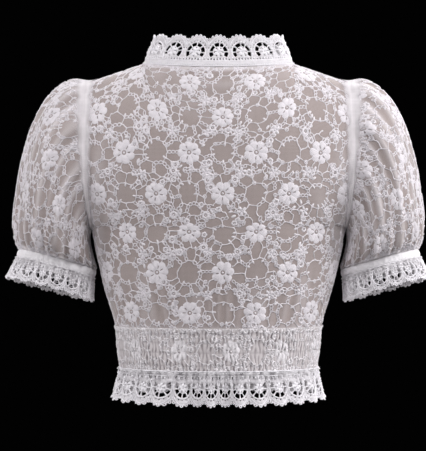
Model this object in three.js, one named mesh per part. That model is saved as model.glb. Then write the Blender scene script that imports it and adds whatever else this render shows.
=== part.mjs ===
// A short-sleeved lace dirndl blouse, held out as worn and with nobody in it.
// Units are millimetres, +Z is up, +Y is the blouse's front, +X is the wearer's right.
// The origin lies between the two points where the shoulder seams meet the neckline.
// Every piece of cloth is a closed wall: an outer surface worked out from the sizes below,
// an inner one a wall's thickness behind it, and a rim along every edge and hole.
import * as THREE from "three";

const radians = THREE.MathUtils.degToRad;
const lerp = THREE.MathUtils.lerp;
const smoothstep = THREE.MathUtils.smoothstep;
const steps = (from, to, count) => Array.from({ length: count + 1 }, (_, i) => lerp(from, to, i / count));

const CLOTH = 1.4; // bodice and sleeve lace with its net ground
const EDGING = 1.6; // scalloped lace edging
const BAND = 1.8; // cuff bands and button band
const SEAM_HALF_GAP = 0.2; // each panel stops this far short of a seam line
const SEAM_GAP = 0.4;

// Neckline and shoulders
const NECK_HALF_WIDTH = 97.5;
const NECK_DEPTH = 70; // from the shoulder line to the centre back, and to the centre front
const BACK_NECK_DROP = 8.5;
const FRONT_NECK_DROP = 78;
const NECK_CURVE = 1.6; // how softly the neckline leaves the shoulder line
const SHOULDER_TIP = new THREE.Vector3(170.4, 0, -25);
const NECK_SHARE = 0.5; // share of a half panel's columns that end on the neckline
const NECK_STEP = Math.PI / 12; // angle between two columns there

// Armhole, an upright oval
const ARMHOLE_HALF_HEIGHT = 93.5;
const ARMHOLE_HALF_DEPTH = 58;
const ARMHOLE_X = 171; // at half height
const ARMHOLE_TOP_SETBACK = 0.6;
const ARMHOLE_BOTTOM_SETBACK = 7.5;
const CHEST_Z = SHOULDER_TIP.z - ARMHOLE_HALF_HEIGHT;
const UNDERARM_Z = CHEST_Z - ARMHOLE_HALF_HEIGHT;
const WAIST_Z = -340;
const BAND_BOTTOM_Z = -394;

// The torso's level sections: half width at the side seam, depth at the centre back and front.
const TORSO = [
  { z: BAND_BOTTOM_Z, half: 127.7, back: 88, front: 92 },
  { z: -366, half: 130.5, back: 90, front: 95 },
  { z: WAIST_Z, half: 134, back: 92, front: 98 },
  { z: -316, half: 140.5, back: 94, front: 100 },
  { z: -290, half: 148, back: 98, front: 104 },
  { z: -262, half: 154.5, back: 102, front: 108 },
  { z: -236, half: 160, back: 105, front: 111 },
  { z: UNDERARM_Z, half: 163.5, back: 107, front: 112 },
  { z: -180, half: 168, back: 109, front: 110 },
  { z: -150, half: 170.5, back: 109, front: 104 },
  { z: CHEST_Z, half: 171, back: 106, front: 92 },
];
const CROWN_ANGLE = { centre: 55, shoulder: 90, reachedAt: 0.6 }; // how far a column rolls over, in degrees
const BUST = { x: 80, z: -226, reachX: 46, reachZ: 50, rise: 17 };

// Bodice panels. v climbs from the waist seam at 0 to the chest at 1 and to the top edge at 2.
const PANEL_ROWS = [...steps(0, 1, 8), ...steps(1, 2, 5).slice(1)];
const BACK_COLUMNS = 24;
const FRONT_COLUMNS = 12;
// Folds let in above the waistband of the fronts, full from v "full" and gone at v "fades"
const GATHER = { rise: 1.7, start: -0.06, full: 0.12, fades: 0.42 };
// A soft fold beside each side seam, full from v "full" to v "fades" and gone at v "top"
const SIDE_FOLD = { rise: 2.2, u: 0.86, width: 0.07, full: 0.25, fades: 0.45, top: 0.75 };

// Cuffs: an oval band square to the upper arm
const CUFF = {
  centre: new THREE.Vector3(209.4, 4, -254.5),
  lean: radians(15), // the arm's slant away from the body
  pitch: radians(6), // the cuff's back edge is the higher one
  across: 51.6,
  deep: 45.5,
  height: 11,
  stand: 0.6, // how far the band stands outside the sleeve's end
};
const CUFF_COLUMNS = 32;

// The sleeve's rings from the armhole to the cuff: the ring's outer and inner ends seen from the back,
// its half depth, and how high the head's gathers, the cuff's gathers and the long folds stand there.
const SLEEVE = [
  { ring: 0, outX: 170.8, outZ: -25, inX: 163.9, inZ: -212, deep: 58, head: 0, foot: 0, fold: 0 },
  { ring: 1, outX: 184, outZ: -21.3, inX: 166, inZ: -217, deep: 61.5, head: 1.7, foot: 0, fold: 0.3 },
  { ring: 2, outX: 203, outZ: -28.5, inX: 167.5, inZ: -224, deep: 65, head: 2.4, foot: 0, fold: 0.8 },
  { ring: 3, outX: 224, outZ: -49.5, inX: 167.5, inZ: -231.5, deep: 68, head: 2.1, foot: 0, fold: 1.4 },
  { ring: 4, outX: 241.5, outZ: -83, inX: 166, inZ: -239.5, deep: 70, head: 1.2, foot: 0, fold: 2 },
  { ring: 5, outX: 254.5, outZ: -127, inX: 164, inZ: -247.5, deep: 70, head: 0.5, foot: 0.2, fold: 2.2 },
  { ring: 6, outX: 262.2, outZ: -172, inX: 162, inZ: -255, deep: 68, head: 0, foot: 0.9, fold: 2 },
  { ring: 7, outX: 265.5, outZ: -206, inX: 160.4, inZ: -261, deep: 64, head: 0, foot: 1.7, fold: 1.4 },
  { ring: 8, outX: 263.6, outZ: -228, inX: 159.8, inZ: -265, deep: 56.5, head: 0, foot: 1.9, fold: 0.7 },
  { ring: 9, outX: 259.8, outZ: -240.9, inX: 160.8, inZ: -267.4, deep: 46.6, head: 0, foot: 0.7, fold: 0 },
];
const SLEEVE_COLUMNS = 42; // two for each gather at the cuff
// Gathers and folds run where the cosine of a ring's angle is over "from", and are full at "full".
const HEAD_GATHERS = { count: 11, from: -0.55, full: 0.35 };
const LONG_FOLDS = { from: -1, full: -0.2 };
const LONG_WAVES = [{ count: 4, phase: 0.7, share: 1 }, { count: 7, phase: 2.1, share: 0.7 }];
const HEAD_BULGE = ARMHOLE_X - (SLEEVE[0].outX - SEAM_GAP + SLEEVE[0].inX - SEAM_GAP) / 2;
const BULGE_RINGS = 3; // the armhole's curve has faded out of the sleeve here

// The shirred waistband: ribs stand on a plain inside, and lines of elastic hold them down.
const SHIRRING_RIBS = 44;
const RIB_ROWS = [
  { z: WAIST_Z - SEAM_HALF_GAP, rise: 0.5 },
  { z: -348, rise: 0.4 },
  { z: -366, rise: 1.5 },
  { z: -385, rise: 0.4 },
  { z: BAND_BOTTOM_Z, rise: 0.6 },
];
const BAND_WALL = 1.6;

// Scalloped lace edging. One repeat is drawn flat: s from -0.5 to 0.5 across it, h up from its seam in mm.
// Its holes lie on an arch round the repeat's flower: each runs between two angles and two radii.
const COLLAR_LACE = {
  height: 43.5, valley: 34.5, pitch: 32, flower: 19.5, base: 3,
  holes: [
    { from: 52, to: 84, inner: 7.6, outer: 12 },
    { from: 96, to: 128, inner: 7.6, outer: 12 },
    { from: 2, to: 36, inner: 8, outer: 12 },
    { from: 144, to: 178, inner: 8, outer: 12 },
    { from: -52, to: -16, inner: 8.4, outer: 13 },
    { from: 196, to: 232, inner: 8.4, outer: 13 },
  ],
};
const HEM_LACE = {
  height: 41, valley: 34, pitch: 26, flower: 19, base: 1,
  holes: [
    { from: 50, to: 84, inner: 8, outer: 12.4 },
    { from: 96, to: 130, inner: 8, outer: 12.4 },
    { from: -4, to: 32, inner: 7.6, outer: 12 },
    { from: 148, to: 184, inner: 7.6, outer: 12 },
  ],
};
const CUFF_LACE = {
  height: 31, valley: 27, pitch: 20.5, flower: 14, base: 1,
  holes: [
    { from: 48, to: 82, inner: 5.2, outer: 9.4 },
    { from: 98, to: 132, inner: 5.2, outer: 9.4 },
  ],
};
const SCALLOP_SHARES = [-0.5, -0.36, -0.16, 0.16, 0.36, 0.5];
const FLARE_CURVE = 1.2; // a frill flares more the further it hangs

// The collar stands on the neckline, leans in and ripples a little. It keeps a wider gap to the fronts,
// where the neckline bends more.
const COLLAR = {
  repeats: 17, back: 7, lean: 0.4, slant: 0.8, sideDrop: 0.08, ripple: 1.1,
  endGap: 0.35, seamGap: 0.9, frontGap: 1.5, frontGapReached: 0.3,
};

// The hem frill hangs from the waistband, flares, and waves once for each scallop. A row gives how far
// round the band from the centre back a scallop hangs, in mm, and whether it stands out or lies folded in.
const HEM = {
  repeats: 28, firstBack: -6, stand: 0.5, flare: 8, wave: 4, backDip: 4, fall: 0.975, endGap: 0.2,
};
const HEM_SCALLOPS = [
  { scallop: -3, along: -72, out: 1 },
  { scallop: -2, along: -43, out: 1.1 },
  { scallop: -1, along: -26, out: -1.3 },
  { scallop: 0, along: -9, out: 1.2 },
  { scallop: 1, along: 8, out: -1.3 },
  { scallop: 2, along: 25, out: 1.2 },
  { scallop: 3, along: 49, out: 1 },
  { scallop: 4, along: 75, out: 1 },
  { scallop: 5, along: 101, out: 1 },
];
const FRILL = { repeats: 16, flare: 6.5, wave: 1.4, endGap: 0.2 }; // on a cuff

// The button band lies over the two front edges, from one v to another, and the buttons on it.
const BUTTON_BAND = { half: 11, gap: 0.5, first: 0.012, last: 1.97 };
const BUTTON = { radius: 5.2, height: 3, count: 6, first: -100, spacing: 45, gap: 0.4, sides: 9 };
// From the underside's middle round the rim to the dip on top, as shares of the radius and height
const BUTTON_PROFILE = [[0, 0], [0.82, 0], [1, 0.35], [0.92, 0.8], [0.6, 1], [0, 0.86]];

// Small steps that the surfaces' slopes are measured with
const SURFACE_STEP = 1e-3;
const DEPTH_STEP = 1;
const TURN_STEP = 0.01;
const RING_STEP = 0.3;
const OUTWARD_RISE = 60; // upward part of the direction that tells a panel's outside from its inside

const back = { sign: -1, depth: "back", bust: 0 };
const front = { sign: 1, depth: "front", bust: BUST.rise };

// A column of a table at any height or row number, on a cubic through the table's rows.
function along(table, key, column, at) {
  const last = table.length - 1;
  const rising = table[last][key] > table[0][key];
  let i = 0;
  while (i < last - 1 && (rising ? at > table[i + 1][key] : at < table[i + 1][key])) i++;
  const slope = (k) => {
    const a = table[Math.max(k - 1, 0)];
    const b = table[Math.min(k + 1, last)];
    return (b[column] - a[column]) / (b[key] - a[key]);
  };
  const [p, q] = [table[i], table[i + 1]];
  const span = q[key] - p[key];
  const t = (at - p[key]) / span;
  const [t2, t3] = [t * t, t * t * t];
  return (
    (2 * t3 - 3 * t2 + 1) * p[column] +
    (t3 - 2 * t2 + t) * span * slope(i) +
    (3 * t2 - 2 * t3) * q[column] +
    (t3 - t2) * span * slope(i + 1)
  );
}

// The armhole's edge on the wearer's right. Angle 0 is the shoulder tip, 180 the underarm.
function armhole(angle, sign) {
  const c = Math.cos(angle);
  const setback = c > 0 ? ARMHOLE_TOP_SETBACK : ARMHOLE_BOTTOM_SETBACK;
  return new THREE.Vector3(
    ARMHOLE_X - setback * c * c,
    sign * ARMHOLE_HALF_DEPTH * Math.sin(angle),
    CHEST_Z + ARMHOLE_HALF_HEIGHT * c,
  );
}

// The neckline. Angle 0 is the centre back, 90 the right shoulder, 180 the centre front.
function neckline(angle) {
  const c = Math.cos(angle);
  const drop = c > 0 ? BACK_NECK_DROP : FRONT_NECK_DROP;
  return new THREE.Vector3(
    NECK_HALF_WIDTH * Math.sin(angle),
    -NECK_DEPTH * c,
    -drop * Math.abs(c) ** NECK_CURVE,
  );
}

// The neckline as the panels' straight edges make it.
function neckEdge(angle) {
  const column = Math.floor(angle / NECK_STEP);
  const [a, b] = [neckline(column * NECK_STEP), neckline((column + 1) * NECK_STEP)];
  return a.lerp(b, angle / NECK_STEP - column);
}

// A level row of a half panel, up to the middle of the armhole. u runs from the centre line to the side.
function torsoRow(part, u, z) {
  const depth = along(TORSO, "z", part.depth, z);
  let edge = new THREE.Vector3(along(TORSO, "z", "half", z), 0, z);
  if (z > UNDERARM_Z) edge = armhole(Math.acos((z - CHEST_Z) / ARMHOLE_HALF_HEIGHT), part.sign);
  const turn = Math.acos(Math.abs(edge.y) / depth);
  const width = edge.x / Math.sin(turn);
  return new THREE.Vector3(width * Math.sin(u * turn), part.sign * depth * Math.cos(u * turn), z);
}

// Where a column of a half panel ends: on the neckline, then along the shoulder seam.
function topEdge(part, u) {
  if (u <= NECK_SHARE) {
    const angle = (u / NECK_SHARE) * (Math.PI / 2);
    return neckline(part.sign < 0 ? angle : Math.PI - angle);
  }
  const corner = new THREE.Vector3(NECK_HALF_WIDTH, 0, 0);
  return corner.lerp(SHOULDER_TIP, (u - NECK_SHARE) / (1 - NECK_SHARE));
}

// A column's upper part, from its point at the chest over to its end.
function rolledOver(part, column, point, share) {
  const end = topEdge(part, column);
  const reached = smoothstep(column, 0, CROWN_ANGLE.reachedAt);
  const most = radians(lerp(CROWN_ANGLE.centre, CROWN_ANGLE.shoulder, reached));
  const roll = share * most;
  const [up, over] = [Math.sin(roll) / Math.sin(most), (1 - Math.cos(roll)) / (1 - Math.cos(most))];
  const below = along(TORSO, "z", part.depth, CHEST_Z - DEPTH_STEP);
  const at = along(TORSO, "z", part.depth, CHEST_Z);
  const slope = (part.sign * (at - below) * (1 - column * column)) / DEPTH_STEP;
  const rise = end.z - point.z;
  return new THREE.Vector3(
    point.x + (end.x - point.x) * up * up,
    point.y + slope * rise * up + (end.y - point.y - slope * rise) * over,
    point.z + rise * up,
  );
}

// The bodice's smooth surface. v from 0 to 1 climbs from the waist seam to the chest, and
// from 1 to 2 rolls over to the neckline and shoulder. A negative u is the wearer's left.
function bodice(part, u, v) {
  const column = Math.abs(u);
  let point = torsoRow(part, column, lerp(WAIST_Z, CHEST_Z, Math.min(v, 1)));
  if (v > 1) point = rolledOver(part, column, point, v - 1);
  const [aside, above] = [(point.x - BUST.x) / BUST.reachX, (point.z - BUST.z) / BUST.reachZ];
  point.y += part.bust * Math.exp(-aside * aside - above * above);
  if (u < 0) point.x = -point.x;
  return point;
}

// The bodice's normal, turned to face away from the torso's axis and upward over the shoulders.
function bodiceNormal(part, u, v) {
  const [left, right] = [Math.max(u - SURFACE_STEP, -1), Math.min(u + SURFACE_STEP, 1)];
  const [low, high] = [Math.max(v - SURFACE_STEP, 0), Math.min(v + SURFACE_STEP, 2)];
  const alongU = bodice(part, right, v).sub(bodice(part, left, v));
  const alongV = bodice(part, u, high).sub(bodice(part, u, low));
  const normal = alongU.cross(alongV).normalize();
  const outward = bodice(part, u, v).setZ(OUTWARD_RISE);
  return normal.dot(outward) < 0 ? normal.negate() : normal;
}

// A closed solid from an outer and an inner set of points that share one list of triangles.
function closedWall(outer, inner, triangles) {
  const n = outer.length;
  const faces = [];
  const edges = new Set();
  for (const [a, b, c] of triangles) {
    faces.push([a, b, c], [n + c, n + b, n + a]);
    for (const [p, q] of [[a, b], [b, c], [c, a]]) edges.add(p + " " + q);
  }
  for (const edge of edges) {
    const [p, q] = edge.split(" ").map(Number);
    if (!edges.has(q + " " + p)) faces.push([q, p, n + p], [q, n + p, n + q]);
  }
  return solid([...outer, ...inner], faces);
}

// A mesh geometry from points and triangles, turned to face out.
function solid(points, faces) {
  let volume = 0;
  for (const [a, b, c] of faces) volume += points[a].dot(points[b].clone().cross(points[c]));
  const turned = volume < 0 ? faces.map(([a, b, c]) => [c, b, a]) : faces;
  const geometry = new THREE.BufferGeometry();
  geometry.setAttribute("position", new THREE.Float32BufferAttribute(points.flatMap((p) => p.toArray()), 3));
  geometry.setIndex(turned.flat());
  geometry.computeVertexNormals();
  return geometry;
}

// Two triangles for each square of a grid. The last column joins the first on a tube.
function gridTriangles(rows, columns, tube = false) {
  const triangles = [];
  for (let r = 0; r + 1 < rows; r++) {
    for (let c = 0; c + (tube ? 0 : 1) < columns; c++) {
      const d = (c + 1) % columns;
      const [p, q, s, t] = [r * columns + c, r * columns + d, (r + 1) * columns + c, (r + 1) * columns + d];
      if ((r + c) % 2) triangles.push([p, q, s], [q, t, s]);
      else triangles.push([p, q, t], [p, t, s]);
    }
  }
  return triangles;
}

// How far the cloth stands off the smooth surface: gathers above the waistband and one fold at the side.
function bodiceFold(column, v, index, gathered) {
  const low = (1 - smoothstep(v, 0, GATHER.fades)) * smoothstep(v, GATHER.start, GATHER.full);
  const gathers = gathered ? (index % 2 ? 1 : -1) * GATHER.rise * low : 0;
  const away = (Math.abs(column) - SIDE_FOLD.u) / SIDE_FOLD.width;
  const fades = smoothstep(v, 0, SIDE_FOLD.full) * (1 - smoothstep(v, SIDE_FOLD.fades, SIDE_FOLD.top));
  return gathers + SIDE_FOLD.rise * Math.exp(-away * away) * fades;
}

function panel(part, columns, gathered) {
  const outer = [];
  const inner = [];
  for (const v of PANEL_ROWS) {
    columns.forEach((u, index) => {
      const edge = Math.abs(u) === 1 || u === 0;
      const normal = bodiceNormal(part, u, v);
      const fold = edge ? 0 : bodiceFold(u, v, index, gathered);
      const point = bodice(part, u, v).addScaledVector(normal, fold);
      for (const [list, p] of [[outer, point], [inner, point.clone().addScaledVector(normal, -CLOTH)]]) {
        p.y = part.sign * Math.max(part.sign * p.y, SEAM_HALF_GAP);
        if (columns[0] === 0) p.x = Math.max(p.x, SEAM_HALF_GAP);
        if (columns.at(-1) === 0) p.x = Math.min(p.x, -SEAM_HALF_GAP);
        if (v === 0) p.z += SEAM_GAP;
        list.push(p);
      }
    });
  }
  return closedWall(outer, inner, gridTriangles(PANEL_ROWS.length, columns.length));
}

const cuffAcross = new THREE.Vector3(Math.cos(CUFF.lean), 0, Math.sin(CUFF.lean));
const cuffDeep = new THREE.Vector3(0, Math.cos(CUFF.pitch), -Math.sin(CUFF.pitch));
const cuffDown = cuffDeep.clone().cross(cuffAcross).normalize();

// A point on the cuff's oval. Angle 0 is the outer side and 90 the front.
function cuff(angle, down, out) {
  return CUFF.centre
    .clone()
    .addScaledVector(cuffAcross, (CUFF.across + out) * Math.cos(angle))
    .addScaledVector(cuffDeep, (CUFF.deep + out) * Math.sin(angle))
    .addScaledVector(cuffDown, down);
}

// How far the sleeve's gathers and folds stand off its smooth rings.
function sleeveFold(ring, angle) {
  const at = (column) => along(SLEEVE, "ring", column, ring);
  const c = Math.cos(angle);
  const head = smoothstep(c, HEAD_GATHERS.from, HEAD_GATHERS.full) * Math.cos(HEAD_GATHERS.count * angle);
  const foot = Math.cos((SLEEVE_COLUMNS / 2) * angle);
  let long = 0;
  for (const { count, phase, share } of LONG_WAVES) long += share * Math.sin(count * angle + phase);
  long *= smoothstep(c, LONG_FOLDS.from, LONG_FOLDS.full);
  return at("head") * head + at("foot") * foot + at("fold") * long;
}

// A ring of the sleeve on the wearer's right. Angle 0 is the outer side and 90 the front.
function sleeve(ring, angle) {
  const at = (column) => along(SLEEVE, "ring", column, ring);
  const c = Math.cos(angle);
  const [outX, outZ, inX, inZ] = [at("outX"), at("outZ"), at("inX"), at("inZ")];
  const share = ring / (SLEEVE.length - 1);
  const out = sleeveFold(ring, angle);
  const setback = c > 0 ? ARMHOLE_TOP_SETBACK : ARMHOLE_BOTTOM_SETBACK;
  const half = (SLEEVE[0].outX - SLEEVE[0].inX) / 2;
  const bulge = (HEAD_BULGE - half * c - setback * c * c) * Math.max(0, 1 - ring / BULGE_RINGS) ** 2;
  const length = Math.hypot(outX - inX, outZ - inZ) / 2;
  const y = (at("deep") + out) * Math.sin(angle) + CUFF.centre.y * share;
  const reach = c * (1 + out / length);
  return new THREE.Vector3(
    (outX + inX) / 2 + ((outX - inX) / 2) * reach + bulge,
    y,
    (outZ + inZ) / 2 + ((outZ - inZ) / 2) * reach - y * Math.tan(CUFF.pitch) * share * share,
  );
}

function tubeWall(surface, rings, columns, thickness, mirror) {
  const outer = [];
  const inner = [];
  for (const ring of rings) {
    for (let c = 0; c < columns; c++) {
      const angle = (c / columns) * 2 * Math.PI;
      const point = surface(ring, angle);
      const around = surface(ring, angle + TURN_STEP).sub(surface(ring, angle - TURN_STEP));
      const low = Math.max(ring - RING_STEP, rings[0]);
      const high = Math.min(ring + RING_STEP, rings.at(-1));
      const down = surface(high, angle).sub(surface(low, angle));
      const middle = surface(ring, angle + Math.PI).add(point).multiplyScalar(0.5);
      const normal = around.cross(down).normalize();
      if (normal.dot(point.clone().sub(middle)) < 0) normal.negate();
      const behind = point.clone().addScaledVector(normal, -thickness);
      for (const p of [point, behind]) p.x *= mirror;
      outer.push(point);
      inner.push(behind);
    }
  }
  return closedWall(outer, inner, gridTriangles(rings.length, columns, true));
}

function cuffBand(mirror) {
  const surface = (down, angle) => cuff(angle, down, CUFF.stand);
  return tubeWall(surface, [SEAM_GAP, CUFF.height], CUFF_COLUMNS, BAND, mirror);
}

// A point round the torso below the waist. Angle 0 is the centre back and 90 the right side.
function waist(angle, z, out) {
  const deep = along(TORSO, "z", Math.cos(angle) > 0 ? "back" : "front", z);
  const half = along(TORSO, "z", "half", z);
  return new THREE.Vector3((half + out) * Math.sin(angle), -(deep + out) * Math.cos(angle), z);
}

function waistband() {
  const columns = 2 * SHIRRING_RIBS;
  const turn = (c) => (c / columns) * 2 * Math.PI;
  const points = [];
  for (const { z, rise } of RIB_ROWS) {
    for (let c = 0; c < columns; c++) points.push(waist(turn(c), z, c % 2 ? rise : 0));
  }
  const faces = gridTriangles(RIB_ROWS.length, columns, true);
  const [topInner, bottomInner] = [points.length, points.length + columns];
  for (const { z } of [RIB_ROWS[0], RIB_ROWS.at(-1)]) {
    for (let c = 0; c < columns; c++) points.push(waist(turn(c), z, -BAND_WALL));
  }
  const bottom = (RIB_ROWS.length - 1) * columns;
  for (let c = 0; c < columns; c++) {
    const d = (c + 1) % columns;
    faces.push([d, c, topInner + c], [d, topInner + c, topInner + d]);
    faces.push([bottom + c, bottom + d, bottomInner + d], [bottom + c, bottomInner + d, bottomInner + c]);
    faces.push([topInner + d, topInner + c, bottomInner + c]);
    faces.push([topInner + d, bottomInner + c, bottomInner + d]);
  }
  return solid(points, faces);
}

// One repeat of edging as flat points and triangles. Its two sides match, so that repeats join.
function laceRepeat(lace) {
  const rise = (s) => lace.valley + (lace.height - lace.valley) * Math.sqrt(Math.max(0, 1 - 4 * s * s));
  const seam = steps(-0.5, 0.5, lace.base).map((s) => new THREE.Vector2(s, 0));
  const edge = SCALLOP_SHARES.map((s) => new THREE.Vector2(s, rise(s))).reverse();
  const side = (s) => new THREE.Vector2(s, lace.valley / 2);
  const outline = [...seam, side(0.5), ...edge, side(-0.5)];
  const holes = lace.holes.map(({ from, to, inner, outer }) => {
    const spot = (degrees, radius) =>
      new THREE.Vector2(
        (radius * Math.cos(radians(degrees))) / lace.pitch,
        lace.flower + radius * Math.sin(radians(degrees)),
      );
    const middle = (from + to) / 2;
    return [spot(from, outer), spot(middle, outer), spot(to, outer), spot(to, inner), spot(from, inner)];
  });
  const triangles = THREE.ShapeUtils.triangulateShape(outline, holes);
  return { points: [...outline, ...holes.flat()], triangles };
}

// A run of repeats as one wall. place(repeat number plus s, h, depth) gives a point in space.
function laceWall(lace, first, count, place) {
  const { points, triangles } = laceRepeat(lace);
  const found = new Map();
  const outer = [];
  const inner = [];
  const faces = [];
  for (let i = first; i < first + count; i++) {
    const index = points.map(({ x, y }) => {
      const key = (i + x).toFixed(4) + " " + y.toFixed(3);
      if (!found.has(key)) {
        found.set(key, outer.length);
        outer.push(place(i + x, y, 0));
        inner.push(place(i + x, y, EDGING));
      }
      return found.get(key);
    });
    for (const [a, b, c] of triangles) faces.push([index[a], index[b], index[c]]);
  }
  return closedWall(outer, inner, faces);
}

// The angle at each share of the way round a closed curve, by length, and the curve's length.
function evenly(curve) {
  const count = 720;
  const lengths = [0];
  for (let i = 1; i <= count; i++) {
    const [a, b] = [curve(((i - 1) / count) * 2 * Math.PI), curve((i / count) * 2 * Math.PI)];
    lengths.push(lengths.at(-1) + a.distanceTo(b));
  }
  const angleAt = (share) => {
    const turns = Math.floor(share);
    const wanted = (share - turns) * lengths.at(-1);
    let i = 1;
    while (i < count && lengths[i] < wanted) i++;
    const within = (wanted - lengths[i - 1]) / (lengths[i] - lengths[i - 1]);
    return (turns + (i - 1 + within) / count) * 2 * Math.PI;
  };
  return { angleAt, length: lengths.at(-1) };
}

const neck = evenly(neckline);

function collar(place, h, depth) {
  const angle = neck.angleAt(place / COLLAR.repeats);
  const point = neckEdge(angle);
  const tangent = neckline(angle + TURN_STEP).sub(neckline(angle - TURN_STEP)).normalize();
  const inward = new THREE.Vector3(-point.x, -point.y, 0).normalize();
  const up = new THREE.Vector3(0, 0, 1).addScaledVector(tangent, -COLLAR.slant * tangent.z);
  const rising = up.addScaledVector(inward, COLLAR.lean).normalize();
  const out = tangent.clone().cross(rising).normalize();
  if (out.dot(inward) > 0) out.negate();
  const ripple = ((COLLAR.ripple * h) / COLLAR_LACE.height) * Math.cos(2 * Math.PI * place);
  const height = h * (1 - COLLAR.sideDrop * Math.sin(angle) ** 2);
  const gap = lerp(COLLAR.seamGap, COLLAR.frontGap, smoothstep(-Math.cos(angle), 0, COLLAR.frontGapReached));
  return point.addScaledVector(rising, gap + height).addScaledVector(out, ripple - depth);
}

// A front half stops just short of the back piece and of the centre front.
function collarFront(mirror) {
  const end = COLLAR.endGap / COLLAR_LACE.pitch;
  const [low, high] = [COLLAR.back / 2 + end, COLLAR.repeats / 2 - end];
  const firstRepeat = (COLLAR.back + 1) / 2;
  return laceWall(COLLAR_LACE, firstRepeat, (COLLAR.repeats - COLLAR.back) / 2, (at, h, depth) => {
    const p = collar(THREE.MathUtils.clamp(at, low, high), h, depth);
    return new THREE.Vector3(mirror * p.x, p.y, p.z);
  });
}

const hemLine = evenly((angle) => waist(angle, BAND_BOTTOM_Z, 0));
const hemStart = HEM_SCALLOPS[0];
const hemTable = [
  ...HEM_SCALLOPS,
  { scallop: hemStart.scallop + HEM.repeats, along: hemStart.along + hemLine.length, out: 1 },
];

function hem(at, h, depth) {
  const scallop = at < hemStart.scallop ? at + HEM.repeats : at;
  const angle = hemLine.angleAt(along(hemTable, "scallop", "along", scallop) / hemLine.length);
  const share = h / HEM_LACE.height;
  const crest = 0.5 + 0.5 * Math.cos(2 * Math.PI * at);
  const wave = HEM.wave * share * crest * along(hemTable, "scallop", "out", scallop);
  const dip = HEM.backDip * share * Math.max(0, Math.cos(angle));
  const point = waist(angle, BAND_BOTTOM_Z, HEM.stand + HEM.flare * share ** FLARE_CURVE + wave - depth);
  point.z -= SEAM_GAP + h * HEM.fall + dip;
  return point;
}

const cuffLine = evenly((angle) => cuff(angle, 0, 0));

function cuffFrill(at, h, depth) {
  const share = h / CUFF_LACE.height;
  const wave = FRILL.wave * share * Math.cos(2 * Math.PI * at);
  const out = CUFF.stand + FRILL.flare * share ** FLARE_CURVE + wave - depth;
  return cuff(cuffLine.angleAt(at / FRILL.repeats), CUFF.height + SEAM_GAP + h, out);
}

// Half of a round frill, with its two ends drawn in a little from its other half's.
function halfFrill(lace, frill, count, first, place, mirror = 1) {
  const end = 0.5 - frill.endGap / lace.pitch;
  const [low, high] = [first - end, first + count - 1 + end];
  return laceWall(lace, first, count, (at, h, depth) => {
    const p = place(THREE.MathUtils.clamp(at, low, high), h, depth);
    return new THREE.Vector3(mirror * p.x, p.y, p.z);
  });
}

// The share of a front's columns at which the smooth surface is x from the centre line.
function columnAt(x, v) {
  const nearCentre = 0.1;
  return (nearCentre * x) / bodice(front, nearCentre, v).x;
}

function frontNormal(v) {
  const normal = bodiceNormal(front, 0, v);
  normal.x = 0;
  return normal.normalize();
}

// How far the band's underside stands off the smooth surface, clear of the gathers
function bandLift(v) {
  return BUTTON_BAND.gap + GATHER.rise * (1 - smoothstep(v, 0, GATHER.fades));
}

function buttonBand() {
  const outer = [];
  const inner = [];
  const across = steps(-BUTTON_BAND.half, BUTTON_BAND.half, 4);
  const rows = [BUTTON_BAND.first, ...PANEL_ROWS.slice(1, -1), BUTTON_BAND.last];
  for (const v of rows) {
    for (const x of across) {
      const point = bodice(front, columnAt(x, v), v);
      const normal = frontNormal(v);
      inner.push(point.clone().addScaledVector(normal, bandLift(v)));
      outer.push(point.clone().addScaledVector(normal, bandLift(v) + BAND));
    }
  }
  return closedWall(outer, inner, gridTriangles(rows.length, across.length));
}

// A shallow domed button on the band, with a rim.
function button(index) {
  const z = BUTTON.first - index * BUTTON.spacing;
  const v = steps(2, 0, 2 / SURFACE_STEP).find((row) => bodice(front, 0, row).z <= z);
  const normal = frontNormal(v);
  const lift = bandLift(v) + BAND + BUTTON.gap;
  const profile = BUTTON_PROFILE.map(([r, y]) => new THREE.Vector2(r * BUTTON.radius, y * BUTTON.height));
  const mesh = named("button_" + (index + 1), new THREE.LatheGeometry(profile, BUTTON.sides), pearl);
  mesh.position.copy(bodice(front, 0, v).addScaledVector(normal, lift));
  mesh.quaternion.setFromUnitVectors(new THREE.Vector3(0, 1, 0), normal);
  return mesh;
}

const fabric = (color, roughness) => new THREE.MeshStandardMaterial({ color, roughness, metalness: 0 });
const lace = fabric("#c9c2be", 0.85);
const edging = fabric("#e6e3e6", 0.8);
const bandCloth = fabric("#dedade", 0.7);
const pearl = fabric("#ece9e6", 0.35);

function named(name, geometry, material) {
  const mesh = new THREE.Mesh(geometry, material);
  mesh.name = name;
  return mesh;
}

const blouse = new THREE.Group();
blouse.add(named("back", panel(back, steps(-1, 1, BACK_COLUMNS), false), lace));
blouse.add(named("front_right", panel(front, steps(0, 1, FRONT_COLUMNS), true), lace));
blouse.add(named("front_left", panel(front, steps(-1, 0, FRONT_COLUMNS), true), lace));
blouse.add(named("waistband", waistband(), lace));
for (const [side, mirror] of [["right", 1], ["left", -1]]) {
  const rings = SLEEVE.map(({ ring }) => ring);
  blouse.add(named("sleeve_" + side, tubeWall(sleeve, rings, SLEEVE_COLUMNS, CLOTH, mirror), lace));
  blouse.add(named("cuff_band_" + side, cuffBand(mirror), bandCloth));
  const half = FRILL.repeats / 2;
  const frill = (first) => halfFrill(CUFF_LACE, FRILL, half, first + 0.5, cuffFrill, mirror);
  blouse.add(named("cuff_frill_front_" + side, frill(0), edging));
  blouse.add(named("cuff_frill_back_" + side, frill(half), edging));
  blouse.add(named("collar_front_" + side, collarFront(mirror), edging));
}
const collarBackFirst = -(COLLAR.back - 1) / 2;
blouse.add(named("collar_back", laceWall(COLLAR_LACE, collarBackFirst, COLLAR.back, collar), edging));
const hemHalf = HEM.repeats / 2;
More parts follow.
